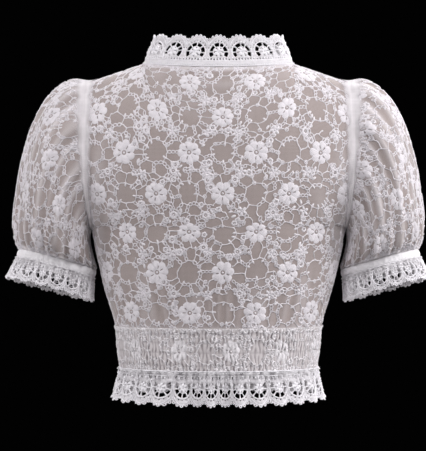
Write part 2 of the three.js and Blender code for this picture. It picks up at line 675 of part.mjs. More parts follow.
for (const [side, first] of [["back", HEM.firstBack], ["front", HEM.firstBack + hemHalf]]) {
  blouse.add(named("hem_frill_" + side, halfFrill(HEM_LACE, HEM, hemHalf, first, hem), edging));
}
blouse.add(named("button_band", buttonBand(), bandCloth));
for (let i = 0; i < BUTTON.count; i++) blouse.add(button(i));

export default blouse;
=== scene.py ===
"""Looks of a lace dirndl blouse, seen from behind as the photograph shows it.

Sizes are in millimetres up to the point where a mesh is made, and its vertices are then in metres.
The surfaces are the ones the CAD pieces have, in finer steps, with the net, the lace and the sewing on them.
"""
import math
import random

import bpy
import numpy as np
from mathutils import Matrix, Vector
from mathutils.geometry import delaunay_2d_cdt


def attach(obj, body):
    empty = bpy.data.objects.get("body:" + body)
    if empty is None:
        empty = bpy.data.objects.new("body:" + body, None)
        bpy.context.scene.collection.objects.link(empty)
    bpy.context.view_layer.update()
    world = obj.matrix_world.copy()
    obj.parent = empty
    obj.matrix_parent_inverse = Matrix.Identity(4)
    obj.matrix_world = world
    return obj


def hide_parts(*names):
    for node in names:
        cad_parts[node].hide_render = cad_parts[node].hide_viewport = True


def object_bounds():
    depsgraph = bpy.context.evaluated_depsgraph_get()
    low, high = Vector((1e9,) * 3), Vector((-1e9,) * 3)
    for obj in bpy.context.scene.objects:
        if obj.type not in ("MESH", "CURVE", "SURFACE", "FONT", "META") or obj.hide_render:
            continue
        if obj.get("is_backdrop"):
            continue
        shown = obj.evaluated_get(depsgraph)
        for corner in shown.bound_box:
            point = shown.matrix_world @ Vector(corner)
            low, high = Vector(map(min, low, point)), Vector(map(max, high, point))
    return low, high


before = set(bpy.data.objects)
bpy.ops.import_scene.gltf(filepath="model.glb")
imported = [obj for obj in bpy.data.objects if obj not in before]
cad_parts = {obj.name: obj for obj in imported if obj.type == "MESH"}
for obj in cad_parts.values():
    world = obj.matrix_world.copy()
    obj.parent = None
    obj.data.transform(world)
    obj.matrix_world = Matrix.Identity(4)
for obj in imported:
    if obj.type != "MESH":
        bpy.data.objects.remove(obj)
cad_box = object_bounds()

MM = 0.001
TURN = 2 * math.pi


def rows_of(columns, *rows):
    """Rows of numbers, with the columns named once."""
    return [dict(zip(columns.split(), row)) for row in rows]


# Sizes shared with the CAD pieces
CLOTH = 1.4
EDGING = 1.6
BAND = 1.8
NECK_HALF_WIDTH, NECK_DEPTH = 97.5, 70
BACK_NECK_DROP, FRONT_NECK_DROP, NECK_CURVE = 8.5, 78, 1.6
SHOULDER_TIP = np.array([170.4, 0, -25])
NECK_SHARE = 0.5
ARMHOLE_HALF_HEIGHT, ARMHOLE_HALF_DEPTH, ARMHOLE_X = 93.5, 58, 171
ARMHOLE_TOP_SETBACK, ARMHOLE_BOTTOM_SETBACK = 0.6, 7.5
CHEST_Z = SHOULDER_TIP[2] - ARMHOLE_HALF_HEIGHT
UNDERARM_Z = CHEST_Z - ARMHOLE_HALF_HEIGHT
WAIST_Z, BAND_BOTTOM_Z = -340, -394
TORSO = rows_of(
    "z half back front",
    (BAND_BOTTOM_Z, 127.7, 88, 92),
    (-366, 130.5, 90, 95),
    (WAIST_Z, 134, 92, 98),
    (-316, 140.5, 94, 100),
    (-290, 148, 98, 104),
    (-262, 154.5, 102, 108),
    (-236, 160, 105, 111),
    (UNDERARM_Z, 163.5, 107, 112),
    (-180, 168, 109, 110),
    (-150, 170.5, 109, 104),
    (CHEST_Z, 171, 106, 92),
)
CROWN_CENTRE, CROWN_SHOULDER, CROWN_REACHED = math.radians(55), math.radians(90), 0.6
BUST = dict(x=80, z=-226, reach_x=46, reach_z=50, rise=17)
BACK, FRONT = -1, 1

SLEEVE = rows_of(
    "ring out_x out_z in_x in_z deep head foot fold",
    (0, 170.8, -25, 163.9, -212, 58, 0, 0, 0),
    (1, 184, -21.3, 166, -217, 61.5, 1.7, 0, 0.3),
    (2, 203, -28.5, 167.5, -224, 65, 2.4, 0, 0.8),
    (3, 224, -49.5, 167.5, -231.5, 68, 2.1, 0, 1.4),
    (4, 241.5, -83, 166, -239.5, 70, 1.2, 0, 2),
    (5, 254.5, -127, 164, -247.5, 70, 0.5, 0.2, 2.2),
    (6, 262.2, -172, 162, -255, 68, 0, 0.9, 2),
    (7, 265.5, -206, 160.4, -261, 64, 0, 1.7, 1.4),
    (8, 263.6, -228, 159.8, -265, 56.5, 0, 1.9, 0.7),
    (9, 259.8, -240.9, 160.8, -267.4, 46.6, 0, 0.7, 0),
)
HEAD_GATHERS, FOOT_GATHERS = 11, 21
# Cosine of the angle where the head's gathers begin and are full, and where the long folds do
HEAD_FROM, HEAD_FULL = -0.55, 0.35
LONG_FROM, LONG_FULL = -1, -0.2
CUFF_CENTRE = np.array([209.4, 4, -254.5])
CUFF_LEAN, CUFF_PITCH = math.radians(15), math.radians(6)
CUFF_ACROSS, CUFF_DEEP, CUFF_HEIGHT = 51.6, 45.5, 11
SEAM_GAP = 0.4


def along(table, key, column, where):
    """A table's column at any heights or row numbers, on a cubic through its rows."""
    rows = sorted(table, key=lambda row: row[key])
    x = np.array([row[key] for row in rows], float)
    y = np.array([row[column] for row in rows], float)
    slope = np.empty_like(y)
    slope[1:-1] = (y[2:] - y[:-2]) / (x[2:] - x[:-2])
    slope[0] = (y[1] - y[0]) / (x[1] - x[0])
    slope[-1] = (y[-1] - y[-2]) / (x[-1] - x[-2])
    where = np.asarray(where, float)
    i = np.clip(np.searchsorted(x, where, side="right") - 1, 0, len(x) - 2)
    span = x[i + 1] - x[i]
    t = (where - x[i]) / span
    return (
        (2 * t**3 - 3 * t**2 + 1) * y[i]
        + (t**3 - 2 * t**2 + t) * span * slope[i]
        + (3 * t**2 - 2 * t**3) * y[i + 1]
        + (t**3 - t**2) * span * slope[i + 1]
    )


def smoothstep(x, low, high):
    t = np.clip((np.asarray(x, float) - low) / (high - low), 0, 1)
    return t * t * (3 - 2 * t)


def bell(x, centre, width):
    return np.exp(-(((x - centre) / width) ** 2))


def unit(vectors):
    return vectors / np.maximum(np.linalg.norm(vectors, axis=-1, keepdims=True), 1e-9)


def stack(x, y, z):
    return np.stack(np.broadcast_arrays(x, y, z), axis=-1).astype(float)


def armhole(angle):
    """The armhole's edge on the wearer's right, with y counted away from the side seam."""
    c = np.cos(angle)
    setback = np.where(c > 0, ARMHOLE_TOP_SETBACK, ARMHOLE_BOTTOM_SETBACK)
    return ARMHOLE_X - setback * c * c, ARMHOLE_HALF_DEPTH * np.sin(angle), CHEST_Z + ARMHOLE_HALF_HEIGHT * c


def neckline(angle):
    """Angle 0 is the centre back, 90 degrees the right shoulder, 180 the centre front."""
    c = np.cos(angle)
    drop = np.where(c > 0, BACK_NECK_DROP, FRONT_NECK_DROP)
    return stack(NECK_HALF_WIDTH * np.sin(angle), -NECK_DEPTH * c, -drop * np.abs(c) ** NECK_CURVE)


def bodice(side, u, v):
    """The bodice's smooth surface. u runs from the wearer's left side seam at -1 to the right one at 1,
    and v climbs from the waist seam at 0 to the chest at 1 and rolls over to the neck at 2."""
    u, v = np.broadcast_arrays(np.asarray(u, float), np.asarray(v, float))
    depth_column = "back" if side == BACK else "front"
    column = np.abs(u)
    z = WAIST_Z + (CHEST_Z - WAIST_Z) * np.minimum(v, 1)
    depth = along(TORSO, "z", depth_column, z)
    open_x, open_y, _ = armhole(np.arccos(np.clip((z - CHEST_Z) / ARMHOLE_HALF_HEIGHT, -1, 1)))
    above = z > UNDERARM_Z
    edge_x = np.where(above, open_x, along(TORSO, "z", "half", z))
    edge_y = np.where(above, open_y, 0)
    turn = np.arccos(edge_y / depth)
    x = edge_x / np.sin(turn) * np.sin(column * turn)
    y = side * depth * np.cos(column * turn)

    toward = np.minimum(column / NECK_SHARE, 1) * math.pi / 2
    neck = neckline(math.pi - toward if side == FRONT else toward)
    share = np.clip((column - NECK_SHARE) / (1 - NECK_SHARE), 0, 1)[..., None]
    corner = np.array([NECK_HALF_WIDTH, 0, 0])
    end = np.where((column <= NECK_SHARE)[..., None], neck, corner + (SHOULDER_TIP - corner) * share)
    most = CROWN_CENTRE + (CROWN_SHOULDER - CROWN_CENTRE) * smoothstep(column, 0, CROWN_REACHED)
    roll = np.clip(v - 1, 0, 1) * most
    up = np.sin(roll) / np.sin(most)
    over = (1 - np.cos(roll)) / (1 - np.cos(most))
    rate = along(TORSO, "z", depth_column, CHEST_Z) - along(TORSO, "z", depth_column, CHEST_Z - 1)
    slope = side * rate * (1 - column * column)
    rise = end[..., 2] - z
    over_y = y + slope * rise * up + (end[..., 1] - y - slope * rise) * over
    rolled = v > 1
    x = np.where(rolled, x + (end[..., 0] - x) * up * up, x)
    y = np.where(rolled, over_y, y)
    z = np.where(rolled, z + rise * up, z)
    if side == FRONT:
        y = y + BUST["rise"] * bell(x, BUST["x"], BUST["reach_x"]) * bell(z, BUST["z"], BUST["reach_z"])
    return stack(np.where(u < 0, -x, x), y, z)


def cuff(angle, down, out):
    """A point on the cuff's oval. Angle 0 is its outer side and 90 degrees its front."""
    across = np.array([math.cos(CUFF_LEAN), 0, math.sin(CUFF_LEAN)])
    deep = np.array([0, math.cos(CUFF_PITCH), -math.sin(CUFF_PITCH)])
    axis = unit(np.cross(deep, across))
    angle, down, out = np.broadcast_arrays(angle, down, out)
    return (
        CUFF_CENTRE
        + ((CUFF_ACROSS + out) * np.cos(angle))[..., None] * across
        + ((CUFF_DEEP + out) * np.sin(angle))[..., None] * deep
        + down[..., None] * axis
    )


def sleeve(ring, angle, extra=0):
    """A ring of the sleeve on the wearer's right, with its gathers. Angle 0 is the outer side."""
    ring, angle = np.broadcast_arrays(np.asarray(ring, float), np.asarray(angle, float))
    at = {name: along(SLEEVE, "ring", name, ring) for name in SLEEVE[0] if name != "ring"}
    c, s = np.cos(angle), np.sin(angle)
    share = ring / (len(SLEEVE) - 1)
    head = smoothstep(c, HEAD_FROM, HEAD_FULL) * at["head"] * np.cos(HEAD_GATHERS * angle)
    foot = at["foot"] * np.cos(FOOT_GATHERS * angle)
    folds = np.sin(4 * angle + 0.7) + 0.7 * np.sin(7 * angle + 2.1)
    out = head + foot + at["fold"] * folds * smoothstep(c, LONG_FROM, LONG_FULL) + extra
    setback = np.where(c > 0, ARMHOLE_TOP_SETBACK, ARMHOLE_BOTTOM_SETBACK)
    first = SLEEVE[0]
    half = (first["out_x"] - first["in_x"]) / 2
    middle = ARMHOLE_X - (first["out_x"] + first["in_x"]) / 2 + SEAM_GAP
    bulge = (middle - half * c - setback * c * c) * np.maximum(0, 1 - ring / 3) ** 2
    wide, tall = at["out_x"] - at["in_x"], at["out_z"] - at["in_z"]
    y = (at["deep"] + out) * s + CUFF_CENTRE[1] * share
    reach = c * (1 + out / (np.hypot(wide, tall) / 2))
    return stack(
        (at["out_x"] + at["in_x"]) / 2 + wide / 2 * reach + bulge,
        y,
        (at["out_z"] + at["in_z"]) / 2 + tall / 2 * reach - y * math.tan(CUFF_PITCH) * share * share,
    )


def waist(angle, z, out):
    """A point round the torso below the waist. Angle 0 is the centre back and 90 degrees the right side."""
    c = np.cos(angle)
    deep = np.where(c > 0, along(TORSO, "z", "back", z), along(TORSO, "z", "front", z))
    half = along(TORSO, "z", "half", z)
    return stack((half + out) * np.sin(angle), -(deep + out) * c, z)


def evenly(curve):
    """The angle at each share of the way round a closed curve, by length, and that whole length."""
    angles = np.linspace(0, TURN, 4 * 360 + 1)
    steps = np.linalg.norm(np.diff(curve(angles), axis=0), axis=1)
    lengths = np.concatenate([[0], np.cumsum(steps)])

    def angle_at(share):
        turns = np.floor(share)
        return turns * TURN + np.interp((share - turns) * lengths[-1], lengths, angles)

    return angle_at, lengths[-1]


# Meshes

def make_piece(name, points, faces, material, slot, flat=None, **marks):
    """A mesh object from points in mm. flat gives each point's place in the flat cloth, in mm, and marks
    are values from 0 to 1 at the points that the materials read."""
    mesh = bpy.data.meshes.new(name)
    mesh.from_pydata((np.asarray(points) * MM).tolist(), [], [list(map(int, face)) for face in faces])
    if flat is not None:
        layer = mesh.uv_layers.new(name="cloth")
        corners = np.empty(len(mesh.loops), dtype=np.int32)
        mesh.loops.foreach_get("vertex_index", corners)
        layer.data.foreach_set("uv", (np.asarray(flat)[corners] * MM * 10).astype(np.float32).ravel())
    for mark, values in marks.items():
        attribute = mesh.attributes.new(mark, "FLOAT", "POINT")
        attribute.data.foreach_set("value", np.asarray(values, np.float32).ravel())
    mesh.polygons.foreach_set("use_smooth", [True] * len(mesh.polygons))
    mesh.materials.append(material)
    mesh.update()
    piece = bpy.data.objects.new(name, mesh)
    bpy.context.scene.collection.objects.link(piece)
    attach(piece, "root")
    return piece


def grid_faces(rows, columns, closed=False):
    r, c = np.meshgrid(np.arange(rows - 1), np.arange(columns if closed else columns - 1), indexing="ij")
    d = (c + 1) % columns
    low, high = r * columns, (r + 1) * columns
    return np.stack([low + c, low + d, high + d, high + c], axis=-1).reshape(-1, 4)


def strip_faces(count, rows, columns):
    """Faces of like strips that follow each other, each of rows by columns points."""
    one = grid_faces(rows, columns)[:, [0, 3, 2, 1]]
    return (one[None] + rows * columns * np.arange(count)[:, None, None]).reshape(-1, 4)


def sample(grid, row, column):
    """The value of a grid between its rows and columns."""
    r = np.clip(np.floor(row).astype(int), 0, grid.shape[0] - 2)
    c = np.clip(np.floor(column).astype(int), 0, grid.shape[1] - 2)
    a, b = row - r, column - c
    if grid.ndim > 2:
        a, b = a[..., None], b[..., None]
    low = grid[r, c] * (1 - b) + grid[r, c + 1] * b
    high = grid[r + 1, c] * (1 - b) + grid[r + 1, c + 1] * b
    return low * (1 - a) + high * a


class Cloth:
    """A sampled surface that takes flat cloth coordinates in mm.

    main is the flat coordinate of each row of the samples. The other flat coordinate is counted along
    each row, from the sample column named start, and stretch is how much flat cloth a mm of it holds."""

    STEP = 1.5

    def __init__(self, points, main, start, outward, stretch=1.0, row_widths=None):
        self.points = points
        normals = unit(np.cross(np.gradient(points, axis=1), np.gradient(points, axis=0)))
        if np.sum(normals * (points - outward)) < 0:
            normals = -normals
        self.normals = normals
        self.main = np.asarray(main, float)
        lengths = np.cumsum(np.linalg.norm(np.diff(points, axis=1), axis=2), axis=1) * stretch
        lengths = np.concatenate([np.zeros((len(points), 1)), lengths], axis=1)
        if row_widths is not None:
            lengths *= (row_widths / lengths[:, -1])[:, None]
        self.lengths = lengths - lengths[:, start][:, None]
        self.low, self.high = self.lengths.min(), self.lengths.max()
        places = np.arange(self.low, self.high + self.STEP, self.STEP)
        columns = np.arange(points.shape[1], dtype=float)
        self.columns = np.array([np.interp(places, row, columns, np.nan, np.nan) for row in self.lengths])

    def place(self, second, main, height):
        """Points of the surface, raised by height. They are not numbers where the cloth has ended."""
        row = np.interp(main, self.main, np.arange(len(self.main), dtype=float), np.nan, np.nan)
        lost = np.isnan(row)
        row = np.where(lost, 0, row)
        column = sample(self.columns, row, (second - self.low) / self.STEP)
        lost |= np.isnan(column) | (second < self.low) | (second > self.high)
        column = np.where(lost, 0, column)
        facing = unit(sample(self.normals, row, column))
        points = sample(self.points, row, column) + facing * height[..., None]
        points[lost] = np.nan
        return points


# Lace motifs, each drawn flat in mm as points (across, up, height) and faces

ROUND_CORD = ((-0.5, 0.05), (-0.22, 1), (0.22, 1), (0.5, 0.05))  # shares of the width and of the height
FINE_CORD = ((-0.5, 0.05), (0, 1), (0.5, 0.05))


def ribbon(path, width, height, closed=False, section=ROUND_CORD):
    """A raised cord along a flat path."""
    path = np.asarray(path, float)
    if closed:
        ahead, behind = np.roll(path, -1, axis=0), np.roll(path, 1, axis=0)
    else:
        ahead, behind = np.vstack([path[1:], path[-1:]]), np.vstack([path[:1], path[:-1]])
    side = unit(ahead - behind)[:, ::-1] * [-1, 1]
    rows = []
    for offset, rise in section:
        rows.append(np.column_stack([path + side * offset * width, np.full(len(path), rise * height)]))
    points = np.stack(rows, axis=1).reshape(-1, 3)
    faces = []
    count, wide = len(path), len(section)
    for i in range(count if closed else count - 1):
        j = (i + 1) % count
        for k in range(wide - 1):
            faces.append((wide * i + k, wide * j + k, wide * j + k + 1, wide * i + k + 1))
    return points, faces


def ring(radius, width, height, sides, tall=1.0, section=ROUND_CORD):
    angles = np.arange(sides) / sides * TURN
    path = np.column_stack([radius * np.cos(angles), radius * tall * np.sin(angles)])
    return ribbon(path, width, height, True, section)


def dome(radius, height, sides=7, long=1.0):
    """A small solid knot or leaf."""
    angles = np.arange(sides) / sides * TURN
    rim = np.column_stack([radius * long * np.cos(angles), radius * np.sin(angles), np.zeros(sides)])
    middle = rim * [0.62, 0.62, 0] + [0, 0, height * 0.8]
    points = np.vstack([rim, middle, [[0, 0, height]]])
    faces = []
    for i in range(sides):
        j = (i + 1) % sides
        faces += [(i, j, sides + j, sides + i), (sides + i, sides + j, 2 * sides)]
    return points, faces


def petals(count, radius, eye, height, notch=0.24, per_petal=8, rings=5, slits=False):
    """A round flower: domed petals parted by grooves or slits, round an open eye with a knot in it."""
    columns = count * per_petal
    angle = np.arange(columns) / columns * TURN
    lobe = np.abs(np.cos(count * angle / 2)) ** 0.55
    edge = radius * (1 - notch + notch * lobe)
    points = []
    for k in range(rings):
        share = k / (rings - 1)
        reach = eye + (edge - eye) * share
        dome_height = height * (0.35 + 0.65 * math.sin(math.pi * (0.18 + 0.72 * share)))
        rise = dome_height * (0.6 + 0.4 * lobe) if 0 < k < rings - 1 else np.full(columns, 0.12)
        points.append(np.column_stack([reach * np.cos(angle), reach * np.sin(angle), rise]))
    faces = []
    for number, face in enumerate(grid_faces(rings, columns, closed=True)):
        row, petal, place = number // columns, number % columns // per_petal, number % per_petal
        if not (slits and 0 < row < 3 and petal % 3 and place in (per_petal // 2 - 1, per_petal // 2)):
            faces.append(tuple(face))
    flower = (np.vstack(points), faces)
    return join([(flower, 0, 0, 0), (dome(eye * 0.52, height * 0.9, 8), 0, 0, 0)])


def moved(shape, x, y, turn, scale=(1, 1)):
    points, faces = shape
    flat = points[:, :2] * scale
    c, s = math.cos(turn), math.sin(turn)
    across, up = flat.T
    return np.column_stack([x + across * c - up * s, y + across * s + up * c, points[:, 2]]), faces


def join(parts):
    """One shape from (shape, x, y, turn) parts."""
    points, faces, count = [], [], 0
    for part in parts:
        placed, more = moved(*part)
        points.append(placed)
        faces += [tuple(count + i for i in face) for face in more]
        count += len(placed)
    return np.vstack(points), faces


def star(radius):
    """Five leaf-shaped petals round a knot."""
    petal = dome(radius * 0.3, 1.0, 7, 1.6)
    parts = [(dome(radius * 0.2, 1.2, 6), 0, 0, 0)]
    for i in range(5):
        angle = i / 5 * TURN
        parts.append((petal, radius * 0.58 * math.cos(angle), radius * 0.58 * math.sin(angle), angle))
    return join(parts)


def links(starts, ends, bows, sways, widths, height):
    """Short knotty cords between pairs of flat points, each with a bend and a sway."""
    side = unit(ends - starts)[:, ::-1] * [-1, 1]
    share = np.linspace(0, 1, 4)
    knot = np.array([1.3, 0.8, 0.95, 1.3])
    bend = bows[:, None] * np.sin(math.pi * share) + sways[:, None] * np.sin(TURN * share)
    path = starts[:, None] + (ends - starts)[:, None] * share[:, None] + side[:, None] * bend[..., None]
    offsets, rises = np.array([-0.5, -0.2, 0.2, 0.5]), np.array([0.05, 1, 1, 0.05]) * height
    shift = offsets[:, None] * (widths[:, None] * knot)[..., None, None] * side[:, None, None, :]
    flat = path[:, :, None, :] + shift
    rise = np.broadcast_to(rises[None, None, :, None], flat.shape[:3] + (1,))
    points = np.concatenate([flat, rise], axis=-1).reshape(-1, 3)
    faces = strip_faces(len(starts), len(share), len(offsets))
    return points, [tuple(face) for face in faces.tolist()]


# The lace repeat, in mm: flowers stand in rows, each row half a pitch to the side of the last. Midway
# between two flowers of a row the net is bare. Cells of corded net fill what is left.
PITCH_ACROSS, PITCH_UP = 84, 51.5
FLOWER_RADIUS = 14.6
CELL, CELL_LEAST = 6.3, 4.9
FLOWER_RING, BARE_RING = 15.6, 20.5
DAISIES = [
    petals(count, FLOWER_RADIUS, eye=2.8, height=1.1, notch=notch, per_petal=10, rings=6, slits=True)
    for count, notch in ((8, 0.2), (7, 0.22), (8, 0.16))
]
STAR = star(6.6)
EYE = petals(6, 5.2, eye=1.9, height=1.1, notch=0.16, per_petal=4, rings=4)
SMALL_EYE = petals(5, 3.9, eye=1.4, height=1.0, notch=0.16, per_petal=4, rings=4)
BEAD = ring(2.2, width=1.35, height=0.9, sides=8, section=FINE_CORD)
LEAF, KNOT = dome(1.5, 0.85, 6, long=2.0), dome(1.25, 1.0, 6)
LOOP_LENGTH = 5
LOOP = ring(LOOP_LENGTH / 2, width=1.35, height=0.9, sides=8, tall=0.74, section=FINE_CORD)
ROW_STEP = 0.866  # height of a row of cells, as a share of the distance along it
JITTER = 2.4  # mm that a cell's middle may stand off its row
MIDDLE_JITTER, MIDDLE_ROOM = 3.5, 7  # the same for a star's middle, and the room round it
CORD_LEFT_OUT, CORD_LOOPED, LOOPED_LEAST = 0.1, 0.3, 3.2  # two shares of the cords, and mm
NEAR_FILL = 90  # how many cells back one can lie that crowds the next
LEAF_REACH = 2.4  # mm from a corner of a bare patch to its leaf's middle


def repeat_numbers(low, high, first, pitch):
    """The numbers of the repeats that reach into a stretch, with one to spare at each end."""
    return range(math.floor((low - first) / pitch) - 1, math.ceil((high - first) / pitch) + 2)


def lattice(low, high, bottom, top, first_across, first_up, shift_across, shift_up):
    """Places that stand to the flowers as the two shifts say, over a stretch of cloth."""
    places = []
    for row in repeat_numbers(bottom, top, first_up, PITCH_UP):
        first = first_across + (row % 2) * PITCH_ACROSS / 2 + shift_across
        for i in repeat_numbers(low, high, first, PITCH_ACROSS):
            places.append((first + i * PITCH_ACROSS, first_up + row * PITCH_UP + shift_up))
    return np.array(places)


def nearest(point, places):
    return np.min(np.hypot(places[:, 0] - point[0], places[:, 1] - point[1]))


def nearest_diamond(point, places):
    """Distance to the nearest place, counted square to the diagonals from flower to flower."""
    away = np.abs(places - point)
    diagonal = math.hypot(PITCH_ACROSS / 2, PITCH_UP)
    return np.min(away[:, 0] * PITCH_UP + away[:, 1] * PITCH_ACROSS / 2) / diagonal


def lace_field(low, high, bottom, top, first_across, first_up, seed):
    """Flowers, and an irregular net of cords with small motifs in and on it, over a stretch of cloth."""
    dice = random.Random(seed)
    spread = (low, high, bottom, top, first_across, first_up)
    flowers = lattice(*spread, 0, 0)
    bare = lattice(*spread, PITCH_ACROSS / 2, 0)
    middles = np.vstack([lattice(*spread, side * PITCH_ACROSS / 4, PITCH_UP / 2) for side in (-1, 1)])
    middles = middles + [[dice.uniform(-MIDDLE_JITTER, MIDDLE_JITTER) for _ in range(2)] for _ in middles]
    fill = [(low - 3 * CELL, bottom - 3 * CELL)]
    for row in range(math.ceil((top - bottom + 2 * CELL) / (CELL * ROW_STEP))):
        for i in range(math.ceil((high - low + 2 * CELL) / CELL)):
            x = low - CELL + (i + row % 2 / 2) * CELL + dice.uniform(-JITTER, JITTER)
            y = bottom - CELL + row * CELL * ROW_STEP + dice.uniform(-JITTER, JITTER)
            bared = nearest_diamond((x, y), bare) < BARE_RING + dice.uniform(-3.2, 3.2)
            crowded = nearest((x, y), middles) < MIDDLE_ROOM
            crowded = crowded or nearest((x, y), np.array(fill[-NEAR_FILL:])) < CELL_LEAST
            ringed = nearest((x, y), flowers) < FLOWER_RING + dice.uniform(-1, 2)
            if not (ringed or bared or crowded):
                fill.append((x, y))
    seeds = np.vstack([flowers, bare, middles, fill])
    counts = [len(flowers), len(bare), len(middles), len(fill)]
    kinds = np.repeat(["flower", "bare", "middle", "fill"], counts)
    found, _, triangles, origins, _, _ = delaunay_2d_cdt([Vector(s) for s in seeds], [], [], 0, 1e-4)
    kinds = [kinds[origin[0]] for origin in origins]
    seeds = np.array([tuple(place) for place in found])
    nodes = seeds[np.array([tuple(corners) for corners in triangles])].mean(axis=1)

    sides = {}
    for number, corners in enumerate(triangles):
        for k in range(3):
            sides.setdefault(frozenset((corners[k], corners[k - 1])), []).append(number)
    starts, ends, bends, loops = [], [], [], []
    for pair, both in sides.items():
        around = {kinds[i] for i in pair}
        if len(both) < 2 or "flower" in around:
            continue
        start, end = nodes[both[0]], nodes[both[1]]
        reach = end - start
        if "bare" not in around and dice.random() < CORD_LEFT_OUT:
            continue
        if dice.random() < CORD_LOOPED and math.hypot(*reach) > LOOPED_LEAST:
            chain = max(1, round(math.hypot(*reach) / LOOP_LENGTH))
            size = math.hypot(*reach) / chain / LOOP_LENGTH
            for k in range(chain):
                middle = start + reach * (k + 0.5) / chain
                loops.append((LOOP, *middle, math.atan2(reach[1], reach[0]), (size, dice.uniform(0.85, 1.1))))
            continue
        starts.append(start)
        ends.append(end)
        bends.append((dice.uniform(-1, 1), dice.uniform(-0.5, 0.5), dice.uniform(1.15, 1.6)))
    bows, sways, widths = np.array(bends).T
    parts = [(links(np.array(starts), np.array(ends), bows, sways, widths, 0.7), 0, 0, 0)] + loops
    for corners, node in zip(triangles, nodes):
        around = [kinds[i] for i in corners]
        x, y = node
        pick = dice.random()
        turn = dice.uniform(0, TURN)
        if "flower" in around and "bare" not in around and pick < 0.6:
            continue
        if "bare" in around:
            centre = seeds[corners[around.index("bare")]]
            inward = math.atan2(centre[1] - y, centre[0] - x)
            if pick < 0.34:
                place = (x + LEAF_REACH * math.cos(inward), y + LEAF_REACH * math.sin(inward))
                parts.append((LEAF, *place, inward + dice.uniform(-0.5, 0.5)))
            elif pick < 0.6:
                parts.append((BEAD, x, y, turn))
        elif pick < 0.26:
            parts.append((BEAD, x, y, turn))
        elif pick < 0.38:
            parts.append((KNOT, x, y, turn))
        elif pick < 0.5:
            parts.append((LEAF, x, y, turn))
    for place, kind in zip(seeds, kinds):
        turn = dice.uniform(0, TURN)
        scale = (dice.uniform(0.94, 1.06), dice.uniform(0.94, 1.06))
        pick = dice.random()
        if kind == "flower":
            parts.append((dice.choice(DAISIES), *place, turn, scale))
        elif kind == "middle":
            parts.append((STAR if pick < 0.6 else EYE, *place, turn, scale))
        elif kind == "fill" and pick < 0.17:
            parts.append((EYE if pick < 0.05 else SMALL_EYE, *place, turn, scale))
        elif kind == "fill" and pick < 0.24:
            parts.append((LEAF, *place, turn, (1.2, 1.2)))
    return join(parts)


def lay_lace(name, cloth, field, material, swap=False, mirror=1, lift=0.1, valley=None):
    """The raised lace on a piece. Motifs that reach past the piece's edge are cut away there. valley gives
    how deep in a valley of the cloth a point lies, from 0 to 1, which sets the thread's painted shade there."""
    points, faces = field
    flat = points[:, :2]
    second, main = (flat[:, 1], flat[:, 0]) if swap else (flat[:, 0], flat[:, 1])
    placed = cloth.place(second, main, points[:, 2] + lift)
    placed[:, 0] *= mirror
    return placed_piece(name, placed, faces, flat, material, "floral_lace", valley)


def placed_piece(name, placed, faces, flat, material, slot, valley):
    """A piece from the faces whose points all lie on the cloth."""
    good = ~np.isnan(placed[:, 0])
    kept = [face for face in faces if all(good[i] for i in face)]
    used = np.unique(np.concatenate([np.array(face) for face in kept]))
    index = np.full(len(placed), -1)
    index[used] = np.arange(len(used))
    faces = [tuple(index[i] for i in face) for face in kept]
    marks = dict(valley=valley(placed[used])) if valley else {}
    return make_piece(name, placed[used], faces, material, slot, flat[used], **marks)


# Materials

def node_material(name):
    material = bpy.data.materials.new(name)
    material.use_nodes = True
    nodes, links = material.node_tree.nodes, material.node_tree.links
    return material, nodes, links, nodes["Principled BSDF"]


def add(nodes, kind, **values):
    node = nodes.new(kind)
    for key, value in values.items():
        if key in node.inputs:
            node.inputs[key].default_value = value
        else:
            setattr(node, key, value)
    return node


def mixed(nodes, links, factor, first, second):
    """A colour that turns to the second with the factor. The first is a colour or a node's output."""
    mix = nodes.new("ShaderNodeMix")
    mix.data_type = "RGBA"
    links.new(factor, mix.inputs["Factor"])
    if isinstance(first, tuple):
        mix.inputs["A"].default_value = (*first, 1)
    else:
        links.new(first, mix.inputs["A"])
    mix.inputs["B"].default_value = (*second, 1)
    return mix.outputs["Result"]


def bumped(nodes, links, height, strength, distance, shader):
    bump = add(nodes, "ShaderNodeBump", Strength=strength, Distance=distance)
    links.new(height, bump.inputs["Height"])
    links.new(bump.outputs["Normal"], shader.inputs["Normal"])


def cloth_coordinates(nodes):
    return add(nodes, "ShaderNodeUVMap", uv_map="cloth").outputs["UV"]


MAP_UNIT = 100  # mm of cloth in a unit of its map
NET_MESH = 1.5  # mm between the net's threads
THREAD_FULL, THREAD_ENDS = 0.1, 0.28  # where a thread thins and ends, in the cell pattern's own distance


